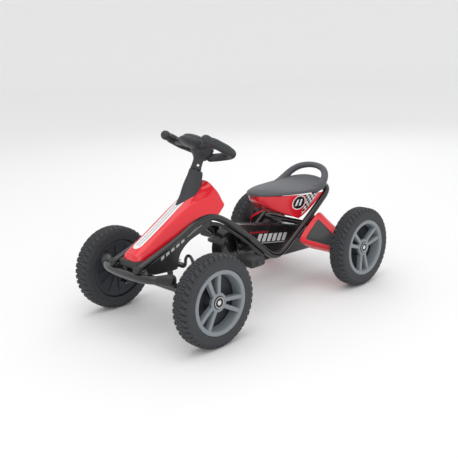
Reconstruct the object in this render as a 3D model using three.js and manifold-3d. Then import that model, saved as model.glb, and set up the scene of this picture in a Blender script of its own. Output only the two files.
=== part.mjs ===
import * as THREE from 'three';
import { mergeVertices } from 'three/addons/utils/BufferGeometryUtils.js';
import Module from 'manifold-3d';

// Child's pedal go kart. Millimetres; +X is forward, +Y is the driver's left, +Z is up.
// The origin is on the ground, under the middle of the kart's bounding box.

const wasm = await Module();
wasm.setup();

// Driving dimensions
const wheelRadius = 115;
const wheelbase = 580;
const trackWidth = 408;
const tyreWidth = 52;
const rimRadius = 81.3;
const tyreBore = 82;
const frontAxleX = 287;
const rearAxleX = frontAxleX - wheelbase;
const axleZ = wheelRadius;
const wheelY = trackWidth / 2;

const tubeRadius = 9.5;
const frontTubeY = 50;
const rearTubeY = 79;

const columnTopX = 142;
const columnTopZ = 400;
const columnSlope = 0.5;
const columnTilt = Math.atan(columnSlope);
const columnRadius = 8;

const kingpinY = 150;
const kingpinRadius = 4;
const stubRadius = 8;
const stubReach = 12;
const steeringArm = 55;
const tieRodZ = 150;

const crankX = 32;
const crankZ = 155;
const crankThrow = 60;
const crankRest = -2 * Math.PI / 180;
const pedalY = 135;
const pedalWidth = 64;

const caseY = 7;
const caseWidth = 40;
const caseFrontRadius = 62;
const caseRearRadius = 38;
const frontSprocketRadius = 48;
const rearSprocketRadius = 24;

const fit = 0.3;

const matte = (color, roughness, metalness = 0) =>
  new THREE.MeshStandardMaterial({ color, roughness, metalness });
const paint = {
  frameBlack: matte(0x141517, 0.25, 0.1),
  red: matte(0xd8142c, 0.2),
  black: matte(0x1a1b1d, 0.5),
  charcoal: matte(0x34373b, 0.6),
  seatGrey: matte(0x55585c, 0.55),
  tyre: matte(0x222426, 0.7),
  rimGrey: matte(0x8e969e, 0.45),
  steel: matte(0xb9bcc0, 0.35, 0.9),
  darkSteel: matte(0x3a3b3d, 0.45, 0.7),
};

// ---- Shape helpers: each gives a closed solid -----------------------------------------

function vector(x, y, z) {
  return new THREE.Vector3(x, y, z);
}

function signedVolume(positions, index) {
  let volume = 0;
  const a = vector(), b = vector(), c = vector();
  for (let i = 0; i < index.length; i += 3) {
    a.fromArray(positions, 3 * index[i]);
    b.fromArray(positions, 3 * index[i + 1]);
    c.fromArray(positions, 3 * index[i + 2]);
    volume += a.dot(b.cross(c)) / 6;
  }
  return volume;
}

function solid(geometry) {
  geometry.deleteAttribute('normal');
  geometry.deleteAttribute('uv');
  const merged = mergeVertices(geometry, 1e-3);
  const vertProperties = new Float32Array(merged.attributes.position.array);
  const triVerts = new Uint32Array(merged.index.array);
  if (signedVolume(vertProperties, triVerts) < 0) {
    triVerts.reverse();
  }
  return new wasm.Manifold(new wasm.Mesh({ numProp: 3, vertProperties, triVerts }));
}

function geometryOf(body) {
  const { vertProperties, triVerts } = body.getMesh();
  const geometry = new THREE.BufferGeometry();
  geometry.setAttribute('position', new THREE.BufferAttribute(vertProperties, 3));
  geometry.setIndex(new THREE.BufferAttribute(triVerts, 1));
  geometry.computeVertexNormals();
  return geometry;
}

function union(...bodies) {
  return bodies.reduce((whole, body) => whole.add(body));
}

function box(centre, size) {
  return solid(new THREE.BoxGeometry(...size).translate(...centre));
}

// A round bar from one point to another; it may taper.
function rod(from, to, radius, sides = 12, endRadius = radius) {
  const start = vector(...from);
  const span = vector(...to).sub(start);
  const geometry = new THREE.CylinderGeometry(endRadius, radius, span.length(), sides);
  geometry.translate(0, span.length() / 2, 0);
  const turn = new THREE.Quaternion().setFromUnitVectors(vector(0, 1, 0), span.normalize());
  geometry.applyQuaternion(turn);
  geometry.translate(start.x, start.y, start.z);
  return solid(geometry);
}

function circle(radius, sides) {
  const points = [];
  for (let i = 0; i < sides; i++) {
    const angle = 2 * Math.PI * i / sides;
    points.push(new THREE.Vector2(radius * Math.cos(angle), radius * Math.sin(angle)));
  }
  return new THREE.Shape(points);
}

// A round bar along a smooth curve through the points.
function bentRod(points, radius, steps, sides = 8) {
  const path = new THREE.CatmullRomCurve3(points.map((p) => vector(...p)), false, 'centripetal');
  const settings = { steps, extrudePath: path, bevelEnabled: false };
  return solid(new THREE.ExtrudeGeometry(circle(radius, sides), settings));
}

// A plate whose outline is given in side view as [x, z] and which reaches from fromY to toY.
function sidePlate(outline, fromY, toY, holes = []) {
  const shape = new THREE.Shape(outline.map(([x, z]) => new THREE.Vector2(x, z)));
  for (const [x, z, radius] of holes) {
    const hole = new THREE.Path();
    hole.absarc(x, z, radius, 0, 2 * Math.PI, true);
    shape.holes.push(hole);
  }
  const settings = { depth: toY - fromY, bevelEnabled: false, curveSegments: 10 };
  const geometry = new THREE.ExtrudeGeometry(shape, settings);
  geometry.rotateX(Math.PI / 2);
  geometry.translate(0, toY, 0);
  return solid(geometry);
}

// A body turned about the Y axis from a closed profile of [radius, y].
function turned(profile, segments = 32) {
  const points = profile.map(([radius, y]) => new THREE.Vector2(radius, y));
  return solid(new THREE.LatheGeometry(points, segments));
}

// A skin through closed rings of points, with each end closed by a fan.
function loft(rings) {
  const count = rings[0].length;
  const positions = rings.flat().flatMap((p) => [p.x, p.y, p.z]);
  const index = [];
  for (let i = 0; i + 1 < rings.length; i++) {
    for (let j = 0; j < count; j++) {
      const a = i * count + j;
      const b = i * count + (j + 1) % count;
      index.push(a, b, a + count, b, b + count, a + count);
    }
  }
  const ends = [[rings[0], 0, 1], [rings.at(-1), (rings.length - 1) * count, -1]];
  for (const [ring, first, side] of ends) {
    const middle = ring.reduce((sum, p) => sum.add(p), vector(0, 0, 0)).divideScalar(count);
    const centre = positions.length / 3;
    positions.push(middle.x, middle.y, middle.z);
    for (let j = 0; j < count; j++) {
      const pair = [first + j, first + (j + 1) % count];
      if (side > 0) {
        pair.reverse();
      }
      index.push(centre, ...pair);
    }
  }
  const geometry = new THREE.BufferGeometry();
  geometry.setAttribute('position', new THREE.Float32BufferAttribute(positions, 3));
  geometry.setIndex(index);
  return solid(geometry);
}

function moved(body, matrix) {
  return solid(geometryOf(body).applyMatrix4(matrix));
}

function mirrored(body) {
  return moved(body, new THREE.Matrix4().makeScale(1, -1, 1));
}

// The matrix that takes a body turned about +Y to a point, with its +Y along a direction.
function standing(point, direction) {
  const target = vector(...direction).normalize();
  const turn = new THREE.Quaternion().setFromUnitVectors(vector(0, 1, 0), target);
  return new THREE.Matrix4().compose(vector(...point), turn, vector(1, 1, 1));
}

const kart = new THREE.Group();

function add(name, body, material, parent = kart) {
  const mesh = new THREE.Mesh(geometryOf(body), material);
  mesh.name = name;
  parent.add(mesh);
  return mesh;
}

function addPair(name, leftBody, material) {
  add(`${name}_left`, leftBody, material);
  add(`${name}_right`, mirrored(leftBody), material);
}

// ---- Frame: two bent tubes joined by a hoop behind the seat ---------------------------

const hoopBackX = -330;
const hoopTopZ = 276;
const tubeRun = [
  [389, frontTubeY, 185.5],
  [319, frontTubeY, 211],
  [255, frontTubeY, 236],
  [205, frontTubeY, 259],
  [172, 51, 268],
  [145, 53, 269],
  [115, 56, 257],
  [53, 62, 214],
  [4, 69, 171],
  [-36, 76, 134],
  [-55, 78, 121],
  [-78, rearTubeY, 117.5],
  [-102, rearTubeY, 125],
  [-127, rearTubeY, 140],
  [-181, rearTubeY, 176],
  [-237, rearTubeY, 214],
  [-275, rearTubeY, 242],
  [-292, 78, 254],
  [-311, 70, 266],
  [-324, 54, 273],
  [hoopBackX + 1, 32, hoopTopZ - 1],
  [hoopBackX, 14, hoopTopZ],
  [hoopBackX, 0.3, hoopTopZ],
];
const tubeSteps = 52;
addPair('frame_tube', bentRod(tubeRun, tubeRadius, tubeSteps), paint.frameBlack);

const grownTubes = bentRod(tubeRun, tubeRadius + fit, tubeSteps);
const bothGrownTubes = union(grownTubes, mirrored(grownTubes));

const seatCrossX = -196;
const seatCrossZ = 185;
const seatCrossRadius = 8;
const seatCross = rod([seatCrossX, 5 - rearTubeY, seatCrossZ], [seatCrossX, rearTubeY - 5, seatCrossZ],
  seatCrossRadius);
add('seat_cross_tube', seatCross.subtract(bothGrownTubes), paint.frameBlack);

// End caps: rounded plastic plugs over the open front ends of the tubes.
const frontTubeDirection = [70, 0, -25.5];
const tubeCapProfile = [[0, 0.4], [11.2, 0.4], [11.2, 4], [10.6, 7.5], [8.6, 10.2], [5, 12], [0, 12.6]];
const tubeCap = moved(turned(tubeCapProfile, 14), standing(tubeRun[0], frontTubeDirection));
addPair('tube_cap', tubeCap, paint.black);

// ---- Bumper: a shallow bow under the tube ends, with a plastic bulb on each end --------

const bowZ = 168;
const bowRadius = 10.5;
const bowHalf = [
  [374, 107, bowZ],
  [384, 92, bowZ],
  [393, 66, bowZ],
  [396.5, 35, bowZ],
];
const bowRun = [...bowHalf, [397.5, 0, bowZ], ...bowHalf.map(([x, y, z]) => [x, -y, z]).reverse()];
const grownCapProfile = [[0, -12], [11.6, -12], [11.6, 4], [11, 7.8], [9, 10.6], [5.2, 12.4], [0, 13]];
const grownCap = moved(turned(grownCapProfile, 14), standing(tubeRun[0], frontTubeDirection));
const bow = bentRod(bowRun, bowRadius, 18, 8).subtract(grownCap).subtract(mirrored(grownCap));
add('bumper_bow', bow, paint.frameBlack);

const bulbProfile = [
  [0, 1.2], [11.5, 1.2], [12.5, 10], [14.5, 24], [15, 31], [13.6, 37], [9.5, 41.5], [0, 43.5]];
const bulb = moved(turned(bulbProfile, 14), standing(bowHalf[0], [-16, 22, 0.5]));
addPair('bumper_cap', bulb, paint.black);

// ---- Front axle beam: cross tube, kingpin channels and the struts up to the frame -------

const beamRadius = 12;
const kingpinAt = (z) => [frontAxleX, kingpinY, z];
const kingpinHole = rod(kingpinAt(60), kingpinAt(170), kingpinRadius + fit);
const channel = union(
  box([frontAxleX, 129, axleZ], [26, 5, 60]),
  box([frontAxleX, 145, axleZ + 27.5], [26, 36, 5]),
  box([frontAxleX, 145, axleZ - 27.5], [26, 36, 5]),
  box([frontAxleX, 43.5, 166], [16, 5, 104]),
).subtract(kingpinHole);
const beamTube = rod([frontAxleX, -128, axleZ], [frontAxleX, 128, axleZ], beamRadius);
const beam = union(beamTube, channel, mirrored(channel)).subtract(bothGrownTubes);
add('front_axle_beam', beam, paint.frameBlack);

const kingpin = union(
  rod(kingpinAt(82), kingpinAt(149), kingpinRadius),
  rod(kingpinAt(axleZ + 30 + fit), kingpinAt(axleZ + 35), 7, 6),
  rod(kingpinAt(axleZ - 36), kingpinAt(axleZ - 30 - fit), 7, 6),
);
addPair('kingpin', kingpin, paint.steel);

const tieRodX = frontAxleX - steeringArm;
const armEyeAt = (z) => [tieRodX, kingpinY, z];
const knuckle = union(
  rod(kingpinAt(axleZ - 24.5), kingpinAt(axleZ + 24.5), 9),
  rod([frontAxleX, kingpinY + 4, axleZ], [frontAxleX, wheelY + stubReach, axleZ], stubRadius),
  rod([frontAxleX, kingpinY + 8, axleZ], [frontAxleX, kingpinY + 22, axleZ], 12),
  box([frontAxleX - steeringArm / 2, kingpinY, 131], [steeringArm, 12, 6]),
  rod(armEyeAt(128), armEyeAt(134), 9),
).subtract(kingpinHole).subtract(rod(armEyeAt(110), armEyeAt(150), 5.5));
addPair('knuckle', knuckle, paint.darkSteel);

// ---- Tie rod: joins the two steering arms, with a slotted plate for the column's crank --

const humpTopZ = tieRodZ + 33;
const tieRodHalf = [
  [tieRodX, 14, tieRodZ],
  [tieRodX, 30, tieRodZ],
  [tieRodX, 38, tieRodZ + 6],
  [tieRodX, 42, tieRodZ + 24],
  [tieRodX, 50, humpTopZ],
  [tieRodX, 60, humpTopZ],
  [tieRodX, 68, tieRodZ + 24],
  [tieRodX, 72, tieRodZ + 6],
  [tieRodX, 80, tieRodZ],
  [tieRodX, 110, tieRodZ],
  [tieRodX, kingpinY, tieRodZ],
];
const tieRodSide = union(
  bentRod(tieRodHalf, 4, 18, 6),
  rod(armEyeAt(124), armEyeAt(tieRodZ + 4), 4, 8),
);
const slottedPlate = box([tieRodX + 5, 0, tieRodZ], [46, 34, 5])
  .subtract(box([tieRodX + 4, 0, tieRodZ], [28, 14, 20]));
add('tie_rod', union(slottedPlate, tieRodSide, mirrored(tieRodSide)), paint.darkSteel);

// ---- Nose cover: a thin shell, flat on top and flared over the tubes at its rear --------

// Each station gives x, the height of the top, the half width, and how boxy the arch is.
const noseStations = [
  [375, 208, 26, 0.5],
  [371, 216, 32, 0.5],
  [362, 222, 34, 0.5],
  [340, 234, 36, 0.52],
  [300, 257, 39, 0.55],
  [260, 281, 43, 0.6],
  [225, 303, 48, 0.65],
  [200, 318, 53, 0.7],
  [175, 333, 60, 0.75],
  [150, 346, 66, 0.8],
  [125, 354, 69, 0.85],
  [85, 362, 70, 0.9],
];
const noseFloorZ = 150;
const noseWall = 2.5;

function arch(x, topZ, halfWidth, boxiness, floorZ) {
  const ring = [];
  const steps = 12;
  for (let i = 0; i <= steps; i++) {
    const angle = Math.PI * (i / steps - 0.5);
    const across = Math.sign(angle) * Math.abs(Math.sin(angle)) ** boxiness;
    const up = Math.max(0, Math.cos(angle)) ** boxiness;
    ring.push(vector(x, halfWidth * across, floorZ + (topZ - floorZ) * up));
  }
  return ring;
}

function noseSkin(offset, floorZ) {
  const last = noseStations.length - 1;
  return loft(noseStations.map(([x, topZ, halfWidth, boxiness], i) => {
    const endShift = i === last && offset < 0 ? -5 : offset;
    return arch(x + endShift, topZ + offset, halfWidth + offset, boxiness, floorZ);
  }));
}

const noseSideView = [
  [380, 194], [319, 213], [262, 239], [215, 262], [188, 274], [170, 280], [162, 277], [156, 264],
  [137, 264], [101, 293], [104, 315], [111, 335], [122, 360], [240, 380], [400, 230],
];
const columnAxisAt = (z) => [columnTopX - columnSlope * (z - columnTopZ), 0, z];
const noseCover = noseSkin(0, noseFloorZ)
  .subtract(noseSkin(-noseWall, noseFloorZ - 10))
  .intersect(sidePlate(noseSideView, -90, 90))
  .subtract(rod(columnAxisAt(240), columnAxisAt(380), 12))
  .subtract(bothGrownTubes);
add('nose_cover', noseCover, paint.red);

const noseShellRoom = noseSkin(fit, noseFloorZ)
  .subtract(noseSkin(-noseWall - fit, noseFloorZ - 10))
  .intersect(sidePlate(noseSideView.map(([x, z]) => [x, z - fit]), -90, 90));
const chin = sidePlate([[389, 180], [383, 198], [362, 203], [330, 188], [345, 172]], -38, 38)
  .subtract(noseShellRoom)
  .subtract(bentRod(bowRun, bowRadius + fit, 18, 8));
add('nose_chin', chin, paint.black);

// ---- Side panels: flat black plates under the front of each tube -----------------------

const panelSideView = [
  [365, 170], [371, 186], [319, 209], [255, 234], [205, 257], [172, 265], [150, 262], [143, 251],
  [170, 239], [203, 231], [226, 223], [245, 211], [258, 198], [266, 182], [269, 157], [345, 162],
];
const panelTail = [
  [150, 53, 252],
  [122, 56, 243],
  [62, 62, 202],
  [13, 69, 159],
  [-20, 75, 129],
];
const sidePanel = union(sidePlate(panelSideView, 48, 55.5), bentRod(panelTail, 5, 12, 6))
  .subtract(bothGrownTubes);
addPair('side_panel', sidePanel, paint.black);

// ---- Column shroud: a drop-shaped boot standing on the nose cover -----------------------

// Each level gives z, the rear and front edges in x, and the half width.
const shroudLevels = [
  [262, 150, 250, 27],
  [300, 140, 224, 25],
  [325, 137, 206, 22.5],
  [350, 134, 190, 19.5],
  [375, 131, 172, 17],
  [405, 126, 154, 15],
];

function oval(z, rearX, frontX, halfWidth) {
  const ring = [];
  const sides = 24;
  for (let i = 0; i < sides; i++) {
    const angle = 2 * Math.PI * i / sides;
    const x = (rearX + frontX) / 2 + (frontX - rearX) / 2 * Math.cos(angle);
    const pinch = 1 - 0.25 * Math.max(0, Math.cos(angle));
    ring.push(vector(x, halfWidth * pinch * Math.sin(angle), z));
  }
  return ring;
}

const shroud = loft(shroudLevels.map((level) => oval(...level)))
  .subtract(noseSkin(fit, noseFloorZ))
  .subtract(rod(columnAxisAt(240), columnAxisAt(420), columnRadius + 1))
  .subtract(rod(columnAxisAt(389), columnAxisAt(450), 40));
add('column_shroud', shroud, paint.charcoal);

// ---- Column bracket and bush: the column's lower bearing, between the frame tubes -------

const bracketZ = 233;
const alongColumn = [-columnSlope, 0, 1];
const bracketFrame = standing(columnAxisAt(bracketZ), alongColumn);
const bracketBlank = new THREE.BoxGeometry(34, 94, 5)
  .rotateY(-columnTilt)
  .translate(...columnAxisAt(bracketZ));
const bracketPlate = solid(bracketBlank)
  .subtract(moved(turned([[0, -20], [12.3, -20], [12.3, 20], [0, 20]], 24), bracketFrame))
  .subtract(bothGrownTubes);
add('column_bracket', bracketPlate, paint.frameBlack);
const bushProfile = [
  [columnRadius + fit, -6], [12, -6], [12, 2.8], [16, 2.8], [16, 6], [columnRadius + fit, 6],
  [columnRadius + fit, -6]];
add('column_bush', moved(turned(bushProfile, 14), bracketFrame), paint.black);

// ---- Steering: everything below is laid out along the column, which is tilted back -----

const steering = new THREE.Group();
steering.position.set(columnTopX, 0, columnTopZ);
steering.rotation.y = -columnTilt;
kart.add(steering);

const toTiePinX = tieRodX - columnTopX;
const toTiePinZ = tieRodZ - columnTopZ;
const columnCrank = -(toTiePinX * Math.cos(columnTilt) + toTiePinZ * Math.sin(columnTilt));
const columnFoot = toTiePinZ * Math.cos(columnTilt) - toTiePinX * Math.sin(columnTilt);
const boltAngle = Math.PI / 3;
const onBolt = (reach) => [reach * Math.cos(boltAngle), reach * Math.sin(boltAngle), 0];
const boltHole = rod(onBolt(-40), onBolt(40), 3.3, 10);
const column = union(
  rod([0, 0, columnFoot + 11], [0, 0, 46], columnRadius),
  box([-columnCrank / 2, 0, columnFoot + 14], [columnCrank + 12, 14, 6]),
  rod([-columnCrank, 0, columnFoot - 11], [-columnCrank, 0, columnFoot + 14], 4, 12),
).subtract(boltHole);
add('steering_column', column, paint.steel, steering);

const gripRadius = 11.5;
const gripRun = [
  [66, 79, 53],
  [48, 83, 53],
  [20, 86, 52],
  [-10, 86, 51],
  [-32, 81, 50],
  [-44, 66, 48],
  [-48, 48, 45],
  [-42, 26, 38],
  [-28, 12, 30],
];
const ballAt = (point, radius) => solid(new THREE.SphereGeometry(radius, 8, 4).translate(...point));
const gripSide = union(
  bentRod(gripRun.slice(0, 5), gripRadius, 8, 8),
  ballAt(gripRun[0], gripRadius),
  ballAt(gripRun[4], gripRadius),
  bentRod(gripRun.slice(3), 8.5, 10, 8),
  rod([30, 26, 48], [24, 82, 50], 7, 8),
);
const alongZ = standing([0, 0, 0], [0, 0, 1]);
const cupProfile = [
  [0, -11], [13.5, -11], [13.5, 14], [17, 20], [25, 30], [31, 42], [32, 52], [0, 56]];
function dome(centre, radii) {
  return solid(new THREE.SphereGeometry(1, 12, 6).scale(...radii).translate(...centre));
}
const padFloor = 58;
const abovePad = (z) => box([30, 0, z + 20], [120, 120, 40]);
const steeringWheel = union(
  moved(turned(cupProfile, 14), alongZ),
  dome([30, 0, 50], [44, 39, 14]),
  gripSide,
  mirrored(gripSide),
).subtract(rod([0, 0, -40], [0, 0, 46.5], columnRadius + fit))
  .subtract(abovePad(padFloor))
  .subtract(boltHole);
add('steering_wheel', steeringWheel, paint.charcoal, steering);
const pad = dome([30, 0, padFloor], [42, 36, 13]).intersect(abovePad(padFloor + fit));
add('steering_pad', pad, paint.charcoal, steering);

const wheelBolt = union(
  rod(onBolt(-16), onBolt(16), 3, 10),
  rod(onBolt(13.9), onBolt(17.5), 5.5, 6),
  rod(onBolt(-17.5), onBolt(-13.9), 5.5, 6),
);
add('wheel_bolt', wheelBolt, paint.steel, steering);

// ---- Wheels: a tyre, a black inner disc, a grey spoked rim and a hub cap ----------------

const boreRadius = stubRadius + 0.5;
const tyreSegments = 32;
const treadRadius = wheelRadius / Math.cos(Math.PI / tyreSegments);
const halfTyre = tyreWidth / 2;
const tyreProfile = [
  [tyreBore, -23], [100, -halfTyre], [treadRadius, -14], [treadRadius, 14], [100, halfTyre],
  [tyreBore, 24.5], [tyreBore, -23]];
const discProfile = [
  [boreRadius, -19], [30, -16], [70, -20], [rimRadius, -20], [rimRadius, -4], [66, -8], [28, -8],
  [20, 8], [boreRadius, 8], [boreRadius, -19]];
const hubCapProfile = [
  [0, stubReach + 0.5], [15.3, stubReach + 0.5], [15.3, 18.5], [14, 19.5], [8.5, 19.5], [8.5, 20.5],
  [0, 20.5]];
const rimProfile = [
  [15.7, 8.4], [24, 8.4], [62, 10], [67, 4], [68, -3.6], [rimRadius, -3.6], [rimRadius, halfTyre],
  [70, halfTyre], [67, 22], [24, 17.5], [15.7, 17.5], [15.7, 8.4]];
const spokePairs = 3;
const spokePairAngle = { front: 77 * Math.PI / 180, rear: 152 * Math.PI / 180 };

function wheelTurned(profile, segments) {
  const points = profile.map(([radius, y]) => new THREE.Vector2(radius, y));
  const lathe = new THREE.LatheGeometry(points, segments, Math.PI / segments);
  return solid(lathe);
}

// One window of the rim: its outline runs along an inner and an outer circle, each between
// plus and minus a spread about the middle angle.
function rimWindow(innerRadius, outerRadius, innerSpread, outerSpread, middle, steps) {
  const outline = [];
  for (let i = 0; i <= steps; i++) {
    const angle = middle + outerSpread * (2 * i / steps - 1);
    outline.push([outerRadius * Math.cos(angle), outerRadius * Math.sin(angle)]);
  }
  for (let i = steps; i >= 0; i--) {
    const angle = middle + innerSpread * (2 * i / steps - 1);
    outline.push([innerRadius * Math.cos(angle), innerRadius * Math.sin(angle)]);
  }
  return sidePlate(outline, 0, 60);
}

// The spokes stand in pairs: a narrow window inside each pair, a wide one between pairs.
function rimBody(pairAngle) {
  let rim = turned(rimProfile, 20);
  for (let i = 0; i < spokePairs; i++) {
    const middle = pairAngle + 2 * Math.PI * i / spokePairs;
    rim = rim
      .subtract(rimWindow(29, 65, 0.13, 0.18, middle, 1))
      .subtract(rimWindow(29, 65, 0.47, 0.68, middle + Math.PI / spokePairs, 4));
  }
  return rim;
}

const tyreBody = wheelTurned(tyreProfile, tyreSegments);
const discBody = wheelTurned(discProfile, 20);
const hubCapBody = turned(hubCapProfile, 12);

for (const [end, axleX] of [['front', frontAxleX], ['rear', rearAxleX]]) {
  const rim = rimBody(spokePairAngle[end]);
  for (const [sideName, side] of [['left', 1], ['right', -1]]) {
    const wheel = new THREE.Group();
    wheel.position.set(axleX, side * wheelY, axleZ);
    kart.add(wheel);
    const facing = (body) => (side > 0 ? body : mirrored(body));
    add(`tyre_${end}_${sideName}`, facing(tyreBody), paint.tyre, wheel);
    add(`wheel_disc_${end}_${sideName}`, facing(discBody), paint.black, wheel);
    add(`wheel_rim_${end}_${sideName}`, facing(rim), paint.rimGrey, wheel);
    add(`hub_cap_${end}_${sideName}`, facing(hubCapBody), paint.black, wheel);
  }
}

// ---- Crank: one bent bar with a pedal on each end, carried by two hangers ---------------

const crankRadius = 6;
const armY = 91;
const crankAt = (y) => [crankX, y, crankZ];
function spindleAt(y) {
  const side = Math.sign(y);
  const x = crankX + side * crankThrow * Math.cos(crankRest);
  const z = crankZ + side * crankThrow * Math.sin(crankRest);
  return [x, y, z];
}

const crankPieces = [rod(crankAt(-armY), crankAt(armY), crankRadius, 12)];
for (const side of [1, -1]) {
  const elbow = crankAt(side * armY);
  const foot = spindleAt(side * armY);
  crankPieces.push(
    rod(elbow, foot, crankRadius, 8),
    ballAt(elbow, crankRadius),
    ballAt(foot, crankRadius),
    rod(foot, spindleAt(side * (pedalY + pedalWidth / 2 + 4)), 5, 12),
  );
}
add('pedal_crank', union(...crankPieces), paint.darkSteel);

const pedalOutline = [
  [-27, -8], [-22, -12], [22, -12], [27, -8], [27, 8], [22, 12], [-22, 12], [-27, 8]];
for (const [sideName, side] of [['left', 1], ['right', -1]]) {
  const pedal = new THREE.Group();
  pedal.position.set(...spindleAt(side * pedalY));
  kart.add(pedal);
  const block = sidePlate(pedalOutline, -pedalWidth / 2, pedalWidth / 2, [[0, 0, 5.5]]);
  add(`pedal_${sideName}`, block, paint.black, pedal);
}

// ---- Chain drive: sprockets on the crank and the rear axle, inside a two-part case ------

// The outline of a belt round two circles, front one first, as [x, z] points.
function beltOutline(frontRadius, rearRadius, steps = 10) {
  const runX = crankX - rearAxleX;
  const runZ = crankZ - axleZ;
  const slant = Math.atan2(runZ, runX);
  const spread = Math.acos((frontRadius - rearRadius) / Math.hypot(runX, runZ));
  const points = [];
  const wrap = (centreX, centreZ, radius, from, to) => {
    for (let i = 0; i <= steps; i++) {
      const angle = slant + from + (to - from) * i / steps;
      points.push([centreX + radius * Math.cos(angle), centreZ + radius * Math.sin(angle)]);
    }
  };
  wrap(crankX, crankZ, frontRadius, spread - Math.PI, Math.PI - spread);
  wrap(rearAxleX, axleZ, rearRadius, Math.PI - spread, Math.PI + spread);
  return points;
}

function sprocketOutline(radius, teeth) {
  const points = [];
  for (let i = 0; i < teeth; i++) {
    for (const [part, depth] of [[0, 4], [0.35, 4], [0.67, 0]]) {
      const angle = 2 * Math.PI * (i + part) / teeth;
      points.push([(radius - depth) * Math.cos(angle), (radius - depth) * Math.sin(angle)]);
    }
  }
  return points;
}

const shiftedTo = (outline, x, z) => outline.map(([px, pz]) => [px + x, pz + z]);
const halfSprocket = 1.5;
const frontTeeth = 24;
const rearTeeth = 12;
const frontSprocket = sidePlate(
  shiftedTo(sprocketOutline(frontSprocketRadius, frontTeeth), crankX, crankZ),
  caseY - halfSprocket, caseY + halfSprocket, [[crankX, crankZ, crankRadius + fit]]);
add('front_sprocket', frontSprocket, paint.steel);
const rearSprocket = sidePlate(
  shiftedTo(sprocketOutline(rearSprocketRadius, rearTeeth), rearAxleX, axleZ),
  caseY - halfSprocket, caseY + halfSprocket, [[rearAxleX, axleZ, stubRadius + fit]]);
add('rear_sprocket', rearSprocket, paint.steel);

const rearAxleAt = (y) => [rearAxleX, y, axleZ];
const chainGap = 0.8;
const chainThickness = 5;
const chainLoop = (offset) =>
  beltOutline(frontSprocketRadius + offset, rearSprocketRadius + offset);
const chain = sidePlate(chainLoop(chainGap + chainThickness), caseY - 3, caseY + 3)
  .subtract(sidePlate(chainLoop(chainGap), caseY - 10, caseY + 10));
add('drive_chain', chain, paint.darkSteel);

const caseWall = 2.4;
const caseHalfDepth = caseWidth / 2;
const caseBores = union(
  rod([crankX, -60, crankZ], [crankX, 60, crankZ], 13, 20),
  rod(rearAxleAt(-60), rearAxleAt(60), 12, 20),
);
function caseHalf(side) {
  const split = caseY + side * fit / 2;
  const wall = caseY + side * caseHalfDepth;
  const [low, high] = [split, wall].sort((a, b) => a - b);
  const inner = wall - side * caseWall;
  const [innerLow, innerHigh] = [split - side * 5, inner].sort((a, b) => a - b);
  const outside = sidePlate(beltOutline(caseFrontRadius, caseRearRadius, 10), low, high);
  const inside = sidePlate(
    beltOutline(caseFrontRadius - caseWall, caseRearRadius - caseWall, 10), innerLow, innerHigh);
  return outside.subtract(inside).subtract(caseBores);
}
add('chain_case_left', caseHalf(1), paint.black);
add('chain_case_right', caseHalf(-1), paint.black);

const hangerY = 42;
const hangerOutline = [
  [crankX - 17, crankZ - 8], [crankX - 8, crankZ - 17], [crankX + 8, crankZ - 17],
  [crankX + 17, crankZ - 8], [crankX + 17, crankZ + 10], [58, 215], [40, 215], [crankX - 17, crankZ + 8]];
const hanger = union(
  sidePlate(hangerOutline, hangerY - 2.5, hangerY + 2.5),
  rod(crankAt(hangerY - 8), crankAt(hangerY + 9), 13, 16),
  rod(crankAt(hangerY + 2), crankAt(hangerY + 6), 20, 16),
  box([50, 48.5, 212], [16, 18, 8]),
).subtract(rod(crankAt(0), crankAt(90), crankRadius + fit, 16)).subtract(bothGrownTubes);
addPair('crank_hanger', hanger, paint.frameBlack);

// ---- Rear axle: a through shaft in two brackets that hang from the frame tubes ----------

const shaftEndY = wheelY + stubReach;
const bushRadius = 11;
add('rear_axle', rod(rearAxleAt(-shaftEndY), rearAxleAt(shaftEndY), stubRadius, 20), paint.steel);

const bracketOutline = [
  [rearAxleX - 16, axleZ - 8], [rearAxleX - 8, axleZ - 16], [rearAxleX + 8, axleZ - 16],
  [rearAxleX + 18, axleZ - 6], [-196, 180], [-236, 208], [rearAxleX - 14, axleZ + 12]];
const axleBracket = sidePlate(bracketOutline, rearTubeY - 2.5, rearTubeY + 2.5)
  .subtract(rod(rearAxleAt(60), rearAxleAt(99), bushRadius + fit, 20))
  .subtract(bothGrownTubes);
addPair('axle_bracket', axleBracket, paint.frameBlack);
const axleBushProfile = [
  [stubRadius + fit, -6], [bushRadius, -6], [bushRadius, 3], [16, 3], [16, 7], [stubRadius + fit, 7],
  [stubRadius + fit, -6]];
const axleBush = moved(turned(axleBushProfile, 14), standing(rearAxleAt(rearTubeY), [0, 1, 0]));
addPair('axle_bush', axleBush, paint.black);

// ---- Rear fairings: tapered shells from the frame out to the rear wheels ----------------

const fairingInner = [[-150, 143], [-243, 211], [-266, 203], [-318, 140], [-330, 95], [-230, 95]];
const fairingOuter = [[-211, 116], [-227, 165], [-243, 165], [-300, 145], [-325, 112], [-262, 84]];
const fairingFromY = 90.5;
const fairingToY = 168;
const fairingWall = 2.5;

function roundedRing(corners, y, inset) {
  const middleOf = (part) => corners.reduce((sum, corner) => sum + corner[part], 0) / corners.length;
  const centre = [middleOf(0), middleOf(1)];
  const ring = [];
  corners.forEach(([x, z], i) => {
    const before = corners.at(i - 1);
    const after = corners[(i + 1) % corners.length];
    for (const [share, other] of [[0.14, before], [0.14, after]]) {
      const px = x + (other[0] - x) * share;
      const pz = z + (other[1] - z) * share;
      const reach = Math.hypot(px - centre[0], pz - centre[1]);
      const keep = 1 - inset / reach;
      ring.push(vector(centre[0] + (px - centre[0]) * keep, y, centre[1] + (pz - centre[1]) * keep));
    }
  });
  return ring;
}

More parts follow.
